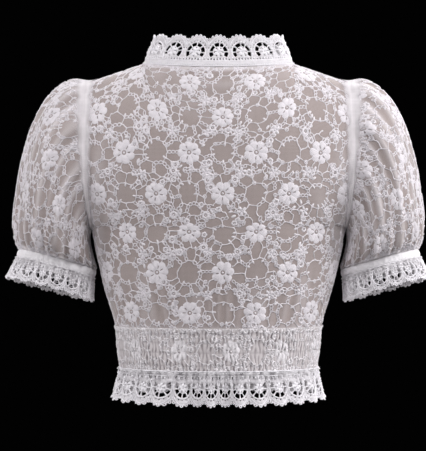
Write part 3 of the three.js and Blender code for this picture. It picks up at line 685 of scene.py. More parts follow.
def net_material(name, color, shade, open_alpha, mark=None, marked=None):
    """Fine hexagonal net: threads with smaller gaps between them that let some light through.
    mark names the points' value by which the colour turns to the marked one."""
    material, nodes, links, shader = node_material(name)
    where = cloth_coordinates(nodes)
    cells = add(
        nodes, "ShaderNodeTexVoronoi", feature="DISTANCE_TO_EDGE", Scale=MAP_UNIT / NET_MESH, Randomness=0.25
    )
    links.new(where, cells.inputs["Vector"])
    span = {"From Min": THREAD_FULL, "From Max": THREAD_ENDS, "To Min": 1.0, "To Max": open_alpha}
    gap = add(nodes, "ShaderNodeMapRange", **span)
    links.new(cells.outputs["Distance"], gap.inputs["Value"])
    cover = gap.outputs["Result"]
    cloud = add(nodes, "ShaderNodeTexNoise", Scale=2.2, Detail=3.0)
    links.new(where, cloud.inputs["Vector"])
    tint = mixed(nodes, links, cloud.outputs["Fac"], shade, color)
    if mark:
        value = add(nodes, "ShaderNodeAttribute", attribute_name=mark).outputs["Fac"]
        if marked:
            tint = mixed(nodes, links, value, tint, marked)
        if mark in ("doubled", "fade"):
            both = add(nodes, "ShaderNodeMath", operation="MAXIMUM" if mark == "doubled" else "MULTIPLY")
            links.new(cover, both.inputs[0])
            links.new(value, both.inputs[1])
            cover = both.outputs["Value"]
    links.new(cover, shader.inputs["Alpha"])
    links.new(tint, shader.inputs["Base Color"])
    bumped(nodes, links, cells.outputs["Distance"], 0.25, 0.0003, shader)
    shader.inputs["Roughness"].default_value = 0.85
    shader.inputs["Sheen Weight"].default_value = 0.8
    shader.inputs["Sheen Roughness"].default_value = 0.35
    return material


def thread_material(name, color, shade, thread, bump, painted_valley_shade=None):
    """White cotton or rayon thread, laid close: fine satin lines with uneven tension. Where the cloth's
    valley mark is high its colour turns to the painted shade given."""
    material, nodes, links, shader = node_material(name)
    where = cloth_coordinates(nodes)
    lines = add(
        nodes, "ShaderNodeTexWave", Scale=MAP_UNIT / thread / TURN, Distortion=6.0, Detail=2.0,
        bands_direction="DIAGONAL",
    )
    links.new(where, lines.inputs["Vector"])
    cloud = add(nodes, "ShaderNodeTexNoise", Scale=18.0, Detail=4.0)
    links.new(where, cloud.inputs["Vector"])
    tint = mixed(nodes, links, cloud.outputs["Fac"], shade, color)
    if painted_valley_shade:
        value = add(nodes, "ShaderNodeAttribute", attribute_name="valley").outputs["Fac"]
        tint = mixed(nodes, links, value, tint, painted_valley_shade)
    links.new(tint, shader.inputs["Base Color"])
    bumped(nodes, links, lines.outputs["Fac"], bump, 0.0004, shader)
    shader.inputs["Roughness"].default_value = 0.72
    shader.inputs["Sheen Weight"].default_value = 0.3
    shader.inputs["Sheen Roughness"].default_value = 0.4
    return material


def weave_material(name, color, shade, thread):
    """Plain weave: two sets of threads that cross."""
    material, nodes, links, shader = node_material(name)
    where = cloth_coordinates(nodes)
    sets = []
    for direction in ("X", "Y"):
        scale = MAP_UNIT / thread / TURN
        wave = add(nodes, "ShaderNodeTexWave", Scale=scale, Distortion=0.6, bands_direction=direction)
        links.new(where, wave.inputs["Vector"])
        sets.append(wave.outputs["Fac"])
    cross = add(nodes, "ShaderNodeMath", operation="MULTIPLY")
    links.new(sets[0], cross.inputs[0])
    links.new(sets[1], cross.inputs[1])
    links.new(mixed(nodes, links, cross.outputs["Value"], shade, color), shader.inputs["Base Color"])
    bumped(nodes, links, cross.outputs["Value"], 0.5, 0.0004, shader)
    shader.inputs["Roughness"].default_value = 0.8
    shader.inputs["Sheen Weight"].default_value = 0.25
    return material


def pearl_material(name):
    material, nodes, links, shader = node_material(name)
    cloud = add(nodes, "ShaderNodeTexNoise", Scale=220.0, Detail=3.0)
    place = add(nodes, "ShaderNodeTexCoord")
    links.new(place.outputs["Object"], cloud.inputs["Vector"])
    tint = mixed(nodes, links, cloud.outputs["Fac"], (0.72, 0.70, 0.67), (0.86, 0.85, 0.84))
    links.new(tint, shader.inputs["Base Color"])
    shader.inputs["Roughness"].default_value = 0.28
    shader.inputs["Coat Weight"].default_value = 0.4
    return material


def floor_material(name):
    material, nodes, links, shader = node_material(name)
    cloud = add(nodes, "ShaderNodeTexNoise", Scale=4.0, Detail=4.0)
    tint = mixed(nodes, links, cloud.outputs["Fac"], (0.55, 0.55, 0.55), (0.62, 0.62, 0.62))
    links.new(tint, shader.inputs["Base Color"])
    shader.inputs["Roughness"].default_value = 0.9
    return material


# The net turns to the marked colour, whiter and denser, where it lies double at seams and gathers. On the
# crests of the bodice's and sleeves' folds the same whitening is a painted highlight.
NET = net_material(
    "net", (0.385, 0.33, 0.315), (0.305, 0.256, 0.245), open_alpha=0.6,
    mark="doubled", marked=(0.80, 0.76, 0.785),
)
# The marked colour of the shirred net and the last colour of the shirred lace are painted shade. It lies in
# the troughs between the ribs, along the rows of elastic and at the band's sides.
BAND_NET = net_material(
    "shirred_net", (0.62, 0.58, 0.59), (0.53, 0.49, 0.50), open_alpha=0.9,
    mark="valley", marked=(0.12, 0.10, 0.105),
)
SEAM_NET = net_material("seam_net", (0.78, 0.75, 0.77), (0.64, 0.61, 0.63), open_alpha=0.85, mark="fade")
BAND_LACE = thread_material(
    "shirred_lace", (0.86, 0.83, 0.855), (0.68, 0.65, 0.68), thread=0.5, bump=0.5, painted_valley_shade=(0.32, 0.3, 0.31)
)
LACE = thread_material("lace_thread", (0.76, 0.725, 0.76), (0.54, 0.51, 0.54), thread=0.5, bump=0.6)
# The last colours of the guipure thread and ground are painted shade in the troughs of the gathered creases
# of the hem and the cuffs.
EDGE_LACE = thread_material(
    "guipure_thread", (0.88, 0.865, 0.90), (0.68, 0.66, 0.69), thread=0.6, bump=0.7,
    painted_valley_shade=(0.46, 0.44, 0.46),
)
EDGE_GROUND = thread_material(
    "guipure_ground", (0.72, 0.70, 0.73), (0.52, 0.50, 0.52), thread=0.6, bump=0.9,
    painted_valley_shade=(0.34, 0.32, 0.34),
)
COTTON = weave_material("cotton_weave", (0.90, 0.885, 0.91), (0.74, 0.72, 0.74), thread=0.7)
STITCH_THREAD = thread_material("sewing_thread", (0.86, 0.85, 0.87), (0.74, 0.73, 0.75), thread=0.4, bump=0.4)
PEARL = pearl_material("pearl")


# Bodice

GATHERS = dict(rise=1.7, start=-0.06, full=0.12, fades=0.42, period=12)
BACK_GATHERS = dict(rise=1.0, count=15)
SIDE_FOLD = dict(rise=2.2, u=0.86, width=0.07, full=0.25, fades=0.45, top=0.75)
SEWN_DOWN = 0.93  # u from which the folds die out toward a side seam or an armhole
BODICE_SAMPLES = 161
# Where one flower stands on the flat cloth, in mm from its start column and from its lower edge
BACK_FLOWER, FRONT_FLOWER = (5, 175 - 4 * PITCH_UP), (-5, 150 - 5 * PITCH_UP)
SLEEVE_FLOWER, BAND_FLOWER = (20, 26), (20, 26)
BACK_SEED, FRONT_SEED, SLEEVE_SEED, BAND_SEED = 3, 11, 23, 37
# Soft folds drawn one by one: centre (u, v), half lengths along u and v, lean of the fold, and height in mm.
BACK_FOLDS = rows_of(
    "u v across up lean rise",
    (-0.88, 0.78, 0.05, 0.25, 0.35, 1.8),
    (0.90, 0.74, 0.05, 0.28, -0.30, 1.9),
    (-0.74, 0.62, 0.05, 0.30, 0.45, 1.0),
    (0.72, 0.55, 0.06, 0.26, -0.5, 1.1),
    (-0.45, 0.14, 0.05, 0.16, 0.1, 1.1),
    (-0.12, 0.10, 0.04, 0.13, 0, 0.9),
    (0.22, 0.12, 0.05, 0.15, -0.05, 1.0),
    (0.52, 0.15, 0.05, 0.17, -0.1, 1.2),
    (0.05, 1.72, 0.18, 0.06, 0, 0.8),
)
FRONT_FOLDS = rows_of(
    "u v across up lean rise",
    (-0.88, 0.8, 0.05, 0.26, 0.4, 1.6),
    (0.88, 0.8, 0.05, 0.26, -0.4, 1.7),
    (-0.62, 0.35, 0.05, 0.25, 0.15, 1.3),
    (0.66, 0.33, 0.05, 0.25, -0.15, 1.2),
)


def bodice_fold(side, u, v):
    """How far the cloth stands off the smooth surface."""
    low = (1 - smoothstep(v, 0, GATHERS["fades"])) * smoothstep(v, GATHERS["start"], GATHERS["full"])
    edges = 1 - smoothstep(np.abs(u), SEWN_DOWN, 1)
    wander = TURN * BACK_GATHERS["count"] * u + 1.6 * np.sin(9 * u) + 0.9 * np.sin(23 * u)
    uneven = 0.6 + 0.4 * np.sin(17 * u + 1)
    fold = BACK_GATHERS["rise"] * low * uneven * np.cos(wander) * (side == BACK)
    if side == FRONT:
        inner = smoothstep(np.abs(u), 0.03, 0.09)
        fold = fold - GATHERS["rise"] * low * np.cos(math.pi * GATHERS["period"] * u) * inner
    fades = smoothstep(v, 0, SIDE_FOLD["full"]) * (1 - smoothstep(v, SIDE_FOLD["fades"], SIDE_FOLD["top"]))
    fold = fold + SIDE_FOLD["rise"] * bell(np.abs(u), SIDE_FOLD["u"], SIDE_FOLD["width"]) * fades
    for row in BACK_FOLDS if side == BACK else FRONT_FOLDS:
        middle = row["u"] + row["lean"] * (v - row["v"]) * 0.5
        fold = fold + row["rise"] * bell(u, middle, row["across"]) * bell(v, row["v"], row["up"])
    return fold * edges


def bodice_points(side, u, v, depth=0.0):
    points = bodice(side, u, v)
    normals = unit(np.cross(np.gradient(points, axis=1), np.gradient(points, axis=0)))
    if np.sum(normals[..., 1]) * side < 0:
        normals = -normals
    points = points + normals * (bodice_fold(side, u, v) - depth)[..., None]
    points[..., 1] = side * np.maximum(side * points[..., 1], 0.1)
    return points


def bodice_cloth(side, low, high, start):
    u, v = np.meshgrid(np.linspace(low, high, BODICE_SAMPLES), np.linspace(0, 2, BODICE_SAMPLES))
    points = bodice_points(side, u, v, CLOTH / 2)
    middle = np.abs(u[0]) < 0.5
    climb = np.linalg.norm(np.diff(points[:, middle], axis=0), axis=2).mean(axis=1)
    side_seams = 0.7 * smoothstep(np.abs(u), 0.925, 0.965)
    waist_seam = 0.3 * (1 - smoothstep(v, 0.01, 0.03))
    neck_seam = 0.6 * smoothstep(v, 1.9, 1.96)
    # Painted highlight: the net turns whiter on the crests of the folds.
    fold_crest_highlight = 0.3 * np.clip(bodice_fold(side, u, v) / 1.6, 0, 1)
    doubled = np.clip(side_seams + waist_seam + neck_seam + fold_crest_highlight, 0, 1)
    cloth = Cloth(points, np.concatenate([[0], np.cumsum(climb)]), start, np.array([0, 0, -200]))
    return cloth, doubled


def net_sheet(name, cloth, node, swap=False, mirror=1, steps=(1, 1), material=NET, **marks):
    """The net ground of a piece, on the piece's own surface."""
    rows = np.arange(0, cloth.points.shape[0], steps[0])
    columns = np.arange(0, cloth.points.shape[1], steps[1])
    points = cloth.points[np.ix_(rows, columns)].reshape(-1, 3) * [mirror, 1, 1]
    second = cloth.lengths[np.ix_(rows, columns)].ravel()
    main = np.repeat(cloth.main[rows], len(columns))
    flat = np.column_stack([main, second] if swap else [second, main])
    faces = grid_faces(len(rows), len(columns))
    marks = {mark: values[np.ix_(rows, columns)] for mark, values in marks.items()}
    sheet = make_piece(name, points, faces, material, "floral_lace", flat, **marks)
    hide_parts(node)
    return sheet


def add_bodice():
    back, doubled = bodice_cloth(BACK, -1, 1, BODICE_SAMPLES // 2)
    net = net_sheet("back_net", back, "back", steps=(2, 1), doubled=doubled)
    field = lace_field(back.low, back.high, 0, back.main[-1], *BACK_FLOWER, BACK_SEED)
    lace = lay_lace("back_lace", back, field, LACE)
    for side, low, high, start in (("right", 0, 1, 0), ("left", -1, 0, BODICE_SAMPLES - 1)):
        front, doubled = bodice_cloth(FRONT, low, high, start)
        net = net_sheet("front_net_" + side, front, "front_" + side, steps=(2, 2), doubled=doubled)
        field = lace_field(front.low, front.high, 0, front.main[-1], *FRONT_FLOWER, FRONT_SEED)
        lace = lay_lace("front_lace_" + side, front, field, LACE)


# Sleeves

SLEEVE_FLAT_WIDTH = 540
SLEEVE_SAMPLES = dict(round=217, along=61)
# Soft folds drawn one by one: angle and half width in degrees, ring and reach in rings, height in mm, and
# lean in degrees a ring.
SLEEVE_FOLDS = rows_of(
    "angle width ring reach rise lean",
    (-19, 3.5, 2.4, 2.2, 1.9, -1.5),
    (-37, 3, 3.6, 2.8, 1.7, -1),
    (-52, 4, 2.2, 1.7, 2.4, -1.2),
    (-68, 3, 4.2, 2.9, 1.9, 0.4),
    (-81, 2.6, 2.6, 2.1, 2.1, -0.6),
    (-97, 3.6, 4.4, 3, 2.6, 1),
    (-110, 2.8, 3.1, 2.4, 2.2, 0.5),
    (-124, 3.4, 4.9, 2.6, 2.3, 1.4),
    (-139, 3, 3.4, 2.2, 1.5, 0.8),
    (-72, 3.4, 7.3, 1.1, 1.6, 0),
    (-106, 3, 7.0, 1.3, 1.5, 1),
    (-31, 3.2, 7.1, 1.2, 1.4, 0),
    (-50, 2.8, 7.4, 1, 1.3, -1),
    (14, 3.5, 2.9, 2.5, 2, 1.2),
    (33, 3, 2.3, 1.8, 2.1, -0.5),
    (49, 3.6, 4.1, 2.8, 1.8, 0.8),
    (66, 3, 2.8, 2.1, 2.3, 0),
    (86, 3.4, 4.6, 2.7, 2.2, -1),
    (103, 2.8, 3, 2, 1.8, -0.6),
    (121, 3.2, 4.8, 2.2, 1.7, -1.2),
    (58, 3, 7.2, 1.2, 1.4, 0),
)


def add_sleeve(side, mirror):
    angle = np.linspace(-math.pi, math.pi, SLEEVE_SAMPLES["round"])
    rings = np.linspace(len(SLEEVE) - 1, 0, SLEEVE_SAMPLES["along"])
    ring_grid, angle_grid = np.meshgrid(rings, angle)
    pleats = 0.8 * np.sin(37 * angle_grid + 2 * np.sin(5 * angle_grid))
    fine = pleats * smoothstep(ring_grid, 6, 8.4) * (1 - smoothstep(ring_grid, 8.6, 9))
    folds = np.zeros_like(fine)
    fade = smoothstep(ring_grid, 0.3, 1.5) * (1 - smoothstep(ring_grid, 8, 9))
    for row in SLEEVE_FOLDS:
        middle = row["angle"] + mirror + row["lean"] * (ring_grid - row["ring"])
        across = bell(np.degrees(angle_grid), middle, row["width"])
        folds += row["rise"] * across * bell(ring_grid, row["ring"], row["reach"]) * fade
    points = sleeve(ring_grid, angle_grid, fine + folds)
    head_seam, cuff_seam = 1 - smoothstep(ring_grid, 0.25, 1), smoothstep(ring_grid, 8.3, 8.7)
    seams = head_seam + cuff_seam + smoothstep(np.abs(angle_grid), 3, 3.07)
    head = 0.35 * (1 - smoothstep(ring_grid, 0.8, 3)) * (0.5 + 0.5 * np.cos(HEAD_GATHERS * 2 * angle_grid))
    # The seams and the head's gathers lie double. The rest is a painted highlight that follows the height of
    # the folds and of the pleats at the foot.
    doubled = np.clip(0.75 * seams + head + 0.27 * folds + 0.25 * fine, 0, 1)
    middle = points.mean(axis=0)
    inward = unit(middle[None] - points)
    points = points + inward * (CLOTH / 2)
    main = angle / TURN * SLEEVE_FLAT_WIDTH
    cloth = Cloth(points, main, 0, middle[None])
    net = net_sheet("sleeve_net_" + side, cloth, "sleeve_" + side, swap=True, mirror=mirror, doubled=doubled)
    across, up = SLEEVE_FLOWER
    field = lace_field(main[0], main[-1], 0, cloth.high, across * mirror, up, SLEEVE_SEED)
    lace = lay_lace("sleeve_lace_" + side, cloth, field, LACE, swap=True, mirror=mirror)


# body: mm that it reaches onto the body, where row is the length of half a row. rings: how far it reaches
# onto the sleeve. bottom: z at the underarm. last: v at the shoulder. length: mm along it in the cloth's map.
ARMHOLE_BAND = dict(body=19, rings=1.5, row=190, bottom=-211.3, last=1.99, length=220, smoothing=24)


def add_armhole_bands(side, mirror):
    """The puckered seam round the armhole, back and front, which lies on the body and the sleeve."""
    on_body, on_sleeve = np.linspace(0, 1, 9), np.linspace(0, 1, 11)
    across = np.concatenate([on_body - 1, on_sleeve])
    swell = 1.2 + 1.2 * bell(across, 0.05, 0.45)
    for part, part_side in (("back", BACK), ("front", FRONT)):
        v = np.linspace((ARMHOLE_BAND["bottom"] - WAIST_Z) / (CHEST_Z - WAIST_Z), ARMHOLE_BAND["last"], 181)
        body_grid, v_grid = np.meshgrid(on_body, v)
        u = 1 - (1 - body_grid) * ARMHOLE_BAND["body"] / ARMHOLE_BAND["row"]
        edge = bodice(part_side, 1, v)
        angle = part_side * np.arccos(np.clip((edge[:, 2] - CHEST_Z) / ARMHOLE_HALF_HEIGHT, -1, 1))
        wander = (angle + 0.02 * np.sin(31 * angle))[:, None]
        crease = np.sin(44 * wander + 3 * across) * np.sin(27 * wander + 1 - 2 * across)
        patchy = np.sin(9 * wander + 5 * across) * np.sin(6 * wander - 7 * across + 2)
        lift = swell + (0.12 * crease + 0.25 * np.cos(8 * across)) * (1 - across**2)
        width = 0.72 + 0.14 * np.sin(13 * angle + 1)[:, None] + 0.14 * np.sin(29 * angle)[:, None]
        cover = 0.84 + 0.03 * crease + 0.13 * patchy
        fade = (1 - smoothstep(np.abs(across)[None], 0.05, width + 0.3)) * cover
        body = bodice_points(part_side, u, v_grid, -lift[:, : len(on_body)])
        ring, angles = np.meshgrid(0.03 + on_sleeve * ARMHOLE_BAND["rings"], angle)
        cap = sleeve(ring, angles, lift[:, len(on_body) :])
        points = np.concatenate([body, cap], axis=1)
        for _ in range(ARMHOLE_BAND["smoothing"]):
            points[:, 1:-1] = (points[:, :-2] + 2 * points[:, 1:-1] + points[:, 2:]) / 4
        rows, columns = points.shape[:2]
        map_rows = np.linspace(0, ARMHOLE_BAND["length"], rows)
        flat = np.stack(np.meshgrid(across * ARMHOLE_BAND["body"], map_rows), axis=-1)
        band = make_piece(
            f"armhole_band_{part}_{side}", points.reshape(-1, 3) * [mirror, 1, 1], grid_faces(rows, columns),
            SEAM_NET, "floral_lace", flat.reshape(-1, 2), fade=fade,
        )


def tube(name, surface, rows, columns, depth, material, slot, mirror, map_width, map_step):
    """A closed band from an outer surface of (angle, row share, out)."""
    angle = np.arange(columns) / columns * TURN
    share = np.concatenate([rows, rows[::-1]])
    out = np.concatenate([np.zeros(len(rows)), np.full(len(rows), -depth)])
    share_grid, angle_grid = np.meshgrid(share, angle, indexing="ij")
    out_grid = np.repeat(out[:, None], columns, axis=1)
    points = surface(angle_grid, share_grid, out_grid).reshape(-1, 3) * [mirror, 1, 1]
    count = len(share)
    faces = list(grid_faces(count, columns, closed=True))
    last = (count - 1) * columns
    faces += [(last + c, last + (c + 1) % columns, (c + 1) % columns, c) for c in range(columns)]
    map_rows = np.repeat(np.arange(count) * map_step, columns)
    flat = np.column_stack([angle_grid.ravel() / TURN * map_width, map_rows])
    return make_piece(name, points, faces, material, slot, flat)


CUFF_BAND = dict(
    rows=9, columns=168, puff=0.9, crease=0.4, creases=52, seam=0.82, map_width=300, map_step=2.0
)


def add_cuff_band(side, mirror):
    def surface(angle, share, out):
        puff = CUFF_BAND["puff"] * np.sin(math.pi * np.clip(share, 0, 1)) ** 0.6
        wander = CUFF_BAND["creases"] * angle + 2 * np.sin(6 * angle)
        crease = CUFF_BAND["crease"] * np.sin(wander) * np.sin(math.pi * share)
        crease = crease - 0.5 * bell(share, CUFF_BAND["seam"], 0.06)
        return cuff(angle, SEAM_GAP + (CUFF_HEIGHT - SEAM_GAP) * share, out + puff + crease + 0.1)

    rows = np.linspace(0, 1, CUFF_BAND["rows"])
    band = tube(
        "cuff_band_cloth_" + side, surface, rows, CUFF_BAND["columns"], BAND, COTTON, "cotton_band", mirror,
        CUFF_BAND["map_width"], CUFF_BAND["map_step"],
    )
    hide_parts("cuff_band_" + side)


# Waistband

RIBS = 156
STITCH_ROWS = [-347, -358, -370.5, -387]
BAND_GATHER = 1.3  # flat cloth in a mm of the shirred band


def rib_height(angle, z):
    """Height of the fine upright ribs that the rows of elastic draw in, and the band's painted shade: in the
    troughs between ribs, along the rows of elastic and at the sides.
    """
    pinch = np.clip(sum(bell(z, row, 1.2) for row in STITCH_ROWS), 0, 1)
    puff = 0.65 + 0.35 * np.sin(5 * angle + z / 9) * np.sin(3 * angle)
    phase = RIBS * angle + 1.1 * np.sin(7 * angle)
    phase = phase + 0.9 * np.sin(z / 2.9 + 31 * angle) + 0.7 * np.sin(z / 4.3 - 57 * angle)
    broken = np.sin(z / 2.4 + 47 * angle) * np.sin(29 * angle - z / 5) + 0.4 * np.sin(z / 1.9 + 90 * angle)
    plain = smoothstep(z, WAIST_Z - 4, WAIST_Z - 1.5)  # 1 on the seam's edge, which has no ribs
    # calm also adds a painted shade at the band's sides, and pinch adds one along the rows of elastic.
    calm = bell(np.abs(angle), 1.4, 0.28)  # 1 at the sides, where the ribs are shallow
    unbroken = np.clip(0.8 + 0.5 * broken, 0, 1)
    valley = np.abs(np.cos(phase / 2)) ** 4 * unbroken * (1 - plain) * (1 - 0.75 * calm)
    height = 0.2 + 1.7 * puff * (1 - valley) * (1 - 0.6 * pinch) * (1 - plain) + 1.4 * plain
    return height, valley * (0.35 + 0.65 * puff) * (1 - 0.5 * pinch) + 0.25 * pinch + 0.25 * calm


def band_painted_shade(points):
    """How much painted shade points on the waistband get, from the ribs' troughs, the rows of elastic and the
    sides.
    """
    x, y, z = points.T
    deep = np.where(y < 0, along(TORSO, "z", "back", z), along(TORSO, "z", "front", z))
    return rib_height(np.arctan2(x / along(TORSO, "z", "half", z), -y / deep), z)[1]


def add_waistband():
    angle = np.linspace(-math.pi, math.pi, 5 * RIBS + 1)
    z = np.linspace(BAND_BOTTOM_Z, WAIST_Z + 0.9, 31)
    angle_grid, z_grid = np.meshgrid(angle, z)
    height, valley = rib_height(angle_grid, z_grid)
    points = waist(angle_grid, z_grid, height - 0.4)
    smooth = waist(angle_grid, z_grid, 0)
    lengths = np.linalg.norm(np.diff(smooth, axis=1), axis=2).sum(axis=1) * BAND_GATHER
    cloth = Cloth(points, z - z[0], 5 * RIBS // 2, np.array([0, 0, -360]), row_widths=lengths)
    net = net_sheet("waistband_net", cloth, "waistband", material=BAND_NET, valley=valley)
    field = lace_field(cloth.low, cloth.high, 0, z[-1] - z[0], *BAND_FLOWER, BAND_SEED)
    lace = lay_lace("waistband_lace", cloth, field, BAND_LACE, lift=0.05, valley=band_painted_shade)


# Button band and buttons

BUTTON_BAND = dict(
    half=11, gap=0.5, first=0.012, last=1.97, seam=0.82, dip=0.35, map_width=44, map_length=420
)
NEAR_CENTRE = 0.1  # u at which the front's width is read, to turn mm across into u
BUTTON = dict(radius=5.2, height=3, count=6, first=-100, spacing=45, gap=0.4)
# From the underside's middle, round the rim, to the dip on top: shares of the radius and height
BUTTON_PROFILE = [
    (0, 0), (0.6, 0), (0.82, 0.02), (0.94, 0.14), (1, 0.38), (0.985, 0.62), (0.93, 0.82), (0.85, 0.94),
    (0.76, 1), (0.66, 0.99), (0.56, 0.9), (0.42, 0.82), (0.24, 0.78), (0, 0.77),
]


def front_frame(v):
    """The centre front's points at v, and which way they face."""
    step = 1e-3
    centre = np.zeros_like(v)
    points = bodice(FRONT, centre, v)
    climb = bodice(FRONT, centre, np.minimum(v + step, 2)) - bodice(FRONT, centre, v - step)
    facing = unit(stack(0, climb[..., 2], -climb[..., 1]))
    return points, facing


def band_lift(v):
    """Height of the button band's underside over the centre front, clear of the fronts' gathers."""
    return BUTTON_BAND["gap"] + GATHERS["rise"] * (1 - smoothstep(v, 0, GATHERS["fades"]))


def add_button_band():
    rows, columns = 129, 21
    v = np.linspace(BUTTON_BAND["first"], BUTTON_BAND["last"], rows)
    _, facing = front_frame(v)
    share = np.linspace(-1, 1, columns)
    width = bodice(FRONT, NEAR_CENTRE, v)[..., 0]
    u = NEAR_CENTRE * share[None] * BUTTON_BAND["half"] / width[:, None]
    smooth = bodice(FRONT, u, np.broadcast_to(v[:, None], u.shape))
    seam, middle = bell(np.abs(share), BUTTON_BAND["seam"], 0.05), bell(np.abs(share), 0.45, 0.03)
    stitched = BUTTON_BAND["dip"] * (seam + middle)
    top = BAND * (1 - np.abs(share) ** 14 * 0.5) - stitched
    wave = 0.18 * np.sin(v * 60)[:, None] * (1 - share[None] ** 2)
    lifts = [band_lift(v)[:, None] + top[None] + wave, np.repeat(band_lift(v)[:, None], columns, axis=1)]
    sheets = [smooth + facing[:, None] * lift[..., None] for lift in lifts]
    points = np.concatenate([sheets[0], sheets[1][:, ::-1]], axis=1)
    map_columns = np.linspace(0, BUTTON_BAND["map_width"], 2 * columns)
    map_rows = np.linspace(0, BUTTON_BAND["map_length"], rows)
    flat = np.stack(np.meshgrid(map_columns, map_rows), axis=-1).reshape(-1, 2)
    faces = list(grid_faces(rows, 2 * columns, closed=True))
    band = make_piece("button_band_cloth", points.reshape(-1, 3), faces, COTTON, "cotton_band", flat)
    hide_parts("button_band")


def add_buttons():
    v = np.linspace(0.02, 1.98, 800)
    points, facing = front_frame(v)
    for i in range(BUTTON["count"]):
        at = np.argmin(np.abs(points[:, 2] - (BUTTON["first"] - i * BUTTON["spacing"])))
        lift = band_lift(v[at]) + BAND + BUTTON["gap"]
        rim = np.array(BUTTON_PROFILE) * [BUTTON["radius"], BUTTON["height"]]
        angle = np.arange(40) / 40 * TURN
        across, up = np.array([1.0, 0, 0]), np.cross(facing[at], [1.0, 0, 0])
        ring_points = [
            points[at] + facing[at] * (lift + h) + r * (math.cos(a) * across + math.sin(a) * up)
            for r, h in rim for a in angle
        ]
        faces = [tuple(face) for face in grid_faces(len(rim), len(angle), closed=True)]
        name = f"button_{i + 1}"
        button = make_piece(name + "_pearl", ring_points, faces, PEARL, "pearl_button")
        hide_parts(name)


# Edging lace

# Each repeat has a flower under an arch of holes with bars between them. The angles are in degrees.
COLLAR_LACE = dict(height=45.5, valley=32.5, pitch=32, flower=20.6, radius=6.8, picots=8,
                   arch=dict(start=-38, end=218, count=6, inner=7.7, outer=13.1), outer_holes=11, heading=8.5)
HEM_LACE = dict(height=41.5, valley=29.5, pitch=26, flower=19.5, radius=5.5, picots=7,
                arch=dict(start=-38, end=218, count=6, inner=6.3, outer=11.4), outer_holes=9, heading=6)
CUFF_LACE = dict(height=31.5, valley=22, pitch=20.5, flower=14.5, radius=4.0, picots=6,
                 arch=dict(start=-38, end=218, count=5, inner=4.5, outer=8.9), outer_holes=7, heading=4.5)
BAR = 0.95  # mm between two holes of an arch
PICOT = 3.0
FLOWER_PETALS = 6
SHEET_THICKNESS = EDGING - 0.4  # the raised work makes up the rest


def scallop_edge(lace, x):
    """Height of the scallop's line above its seam, x mm from the repeat's middle."""
    s = np.clip(2 * x / lace["pitch"], -1, 1)
    return lace["valley"] + (lace["height"] - lace["valley"] - PICOT) * np.sqrt(np.maximum(0, 1 - s * s))


def picot_edge(lace, turn, inset=0.0):
    """Points of the edge with its picots, which stand out square to the scallop. turn runs from 0 to 1."""
    angle = math.pi * np.asarray(turn)
    half = lace["pitch"] / 2
    out = 0.75 * np.cos(angle)
    picot = PICOT * np.abs(np.sin(lace["picots"] * angle)) ** 0.8
    picot = picot * smoothstep(np.sin(angle), 0.05, 0.4) - inset
    x = half * np.cos(angle) + picot * out
    y = scallop_edge(lace, half * np.cos(angle)) + picot * np.sqrt(1 - out**2)
    return np.stack([np.clip(x, -half, half), y], axis=-1)


def picot_middles(lace):
    return picot_edge(lace, (np.arange(1, lace["picots"] - 1) + 0.5) / lace["picots"], 1.7)


def arch_holes(lace, dice):
    """Start and end angle of each hole of the arch. The bars between them stand unevenly."""
    arch = lace["arch"]
    bar = BAR / (arch["inner"] + arch["outer"]) * 2
    edges = np.linspace(math.radians(arch["start"]), math.radians(arch["end"]), arch["count"] + 1)
    step = edges[1] - edges[0]
    edges[1:-1] += [dice.uniform(-0.2, 0.2) * step for _ in edges[1:-1]]
    return [(a + bar / 2, b - bar / 2) for a, b in zip(edges[:-1], edges[1:])]


def patch(lace, start, end, dice):
    """A hole's outline, a bent patch with soft corners."""
    inner = lace["arch"]["inner"] + dice.uniform(-0.3, 0.5)
    outer = lace["arch"]["outer"] + dice.uniform(-0.7, 0.2)
    angles = np.linspace(start, end, 5)
    inset = 0.06 * (end - start)
    soft = np.array([angles[0] + inset, *angles[1:-1], angles[-1] - inset])
    rim = [(outer * math.cos(a), outer * math.sin(a)) for a in soft]
    rim += [((inner * 0.4 + outer * 0.6) * math.cos(end), (inner * 0.4 + outer * 0.6) * math.sin(end))]
    rim += [(inner * math.cos(a), inner * math.sin(a)) for a in soft[::-1]]
    rim += [((inner * 0.6 + outer * 0.4) * math.cos(start), (inner * 0.6 + outer * 0.4) * math.sin(start))]
    return np.array(rim) + [0, lace["flower"]]


def round_hole(x, y, radius, sides=6, tall=1.0):
    angles = np.arange(sides) / sides * TURN
    return np.column_stack([x + radius * np.cos(angles), y + radius * tall * np.sin(angles)])


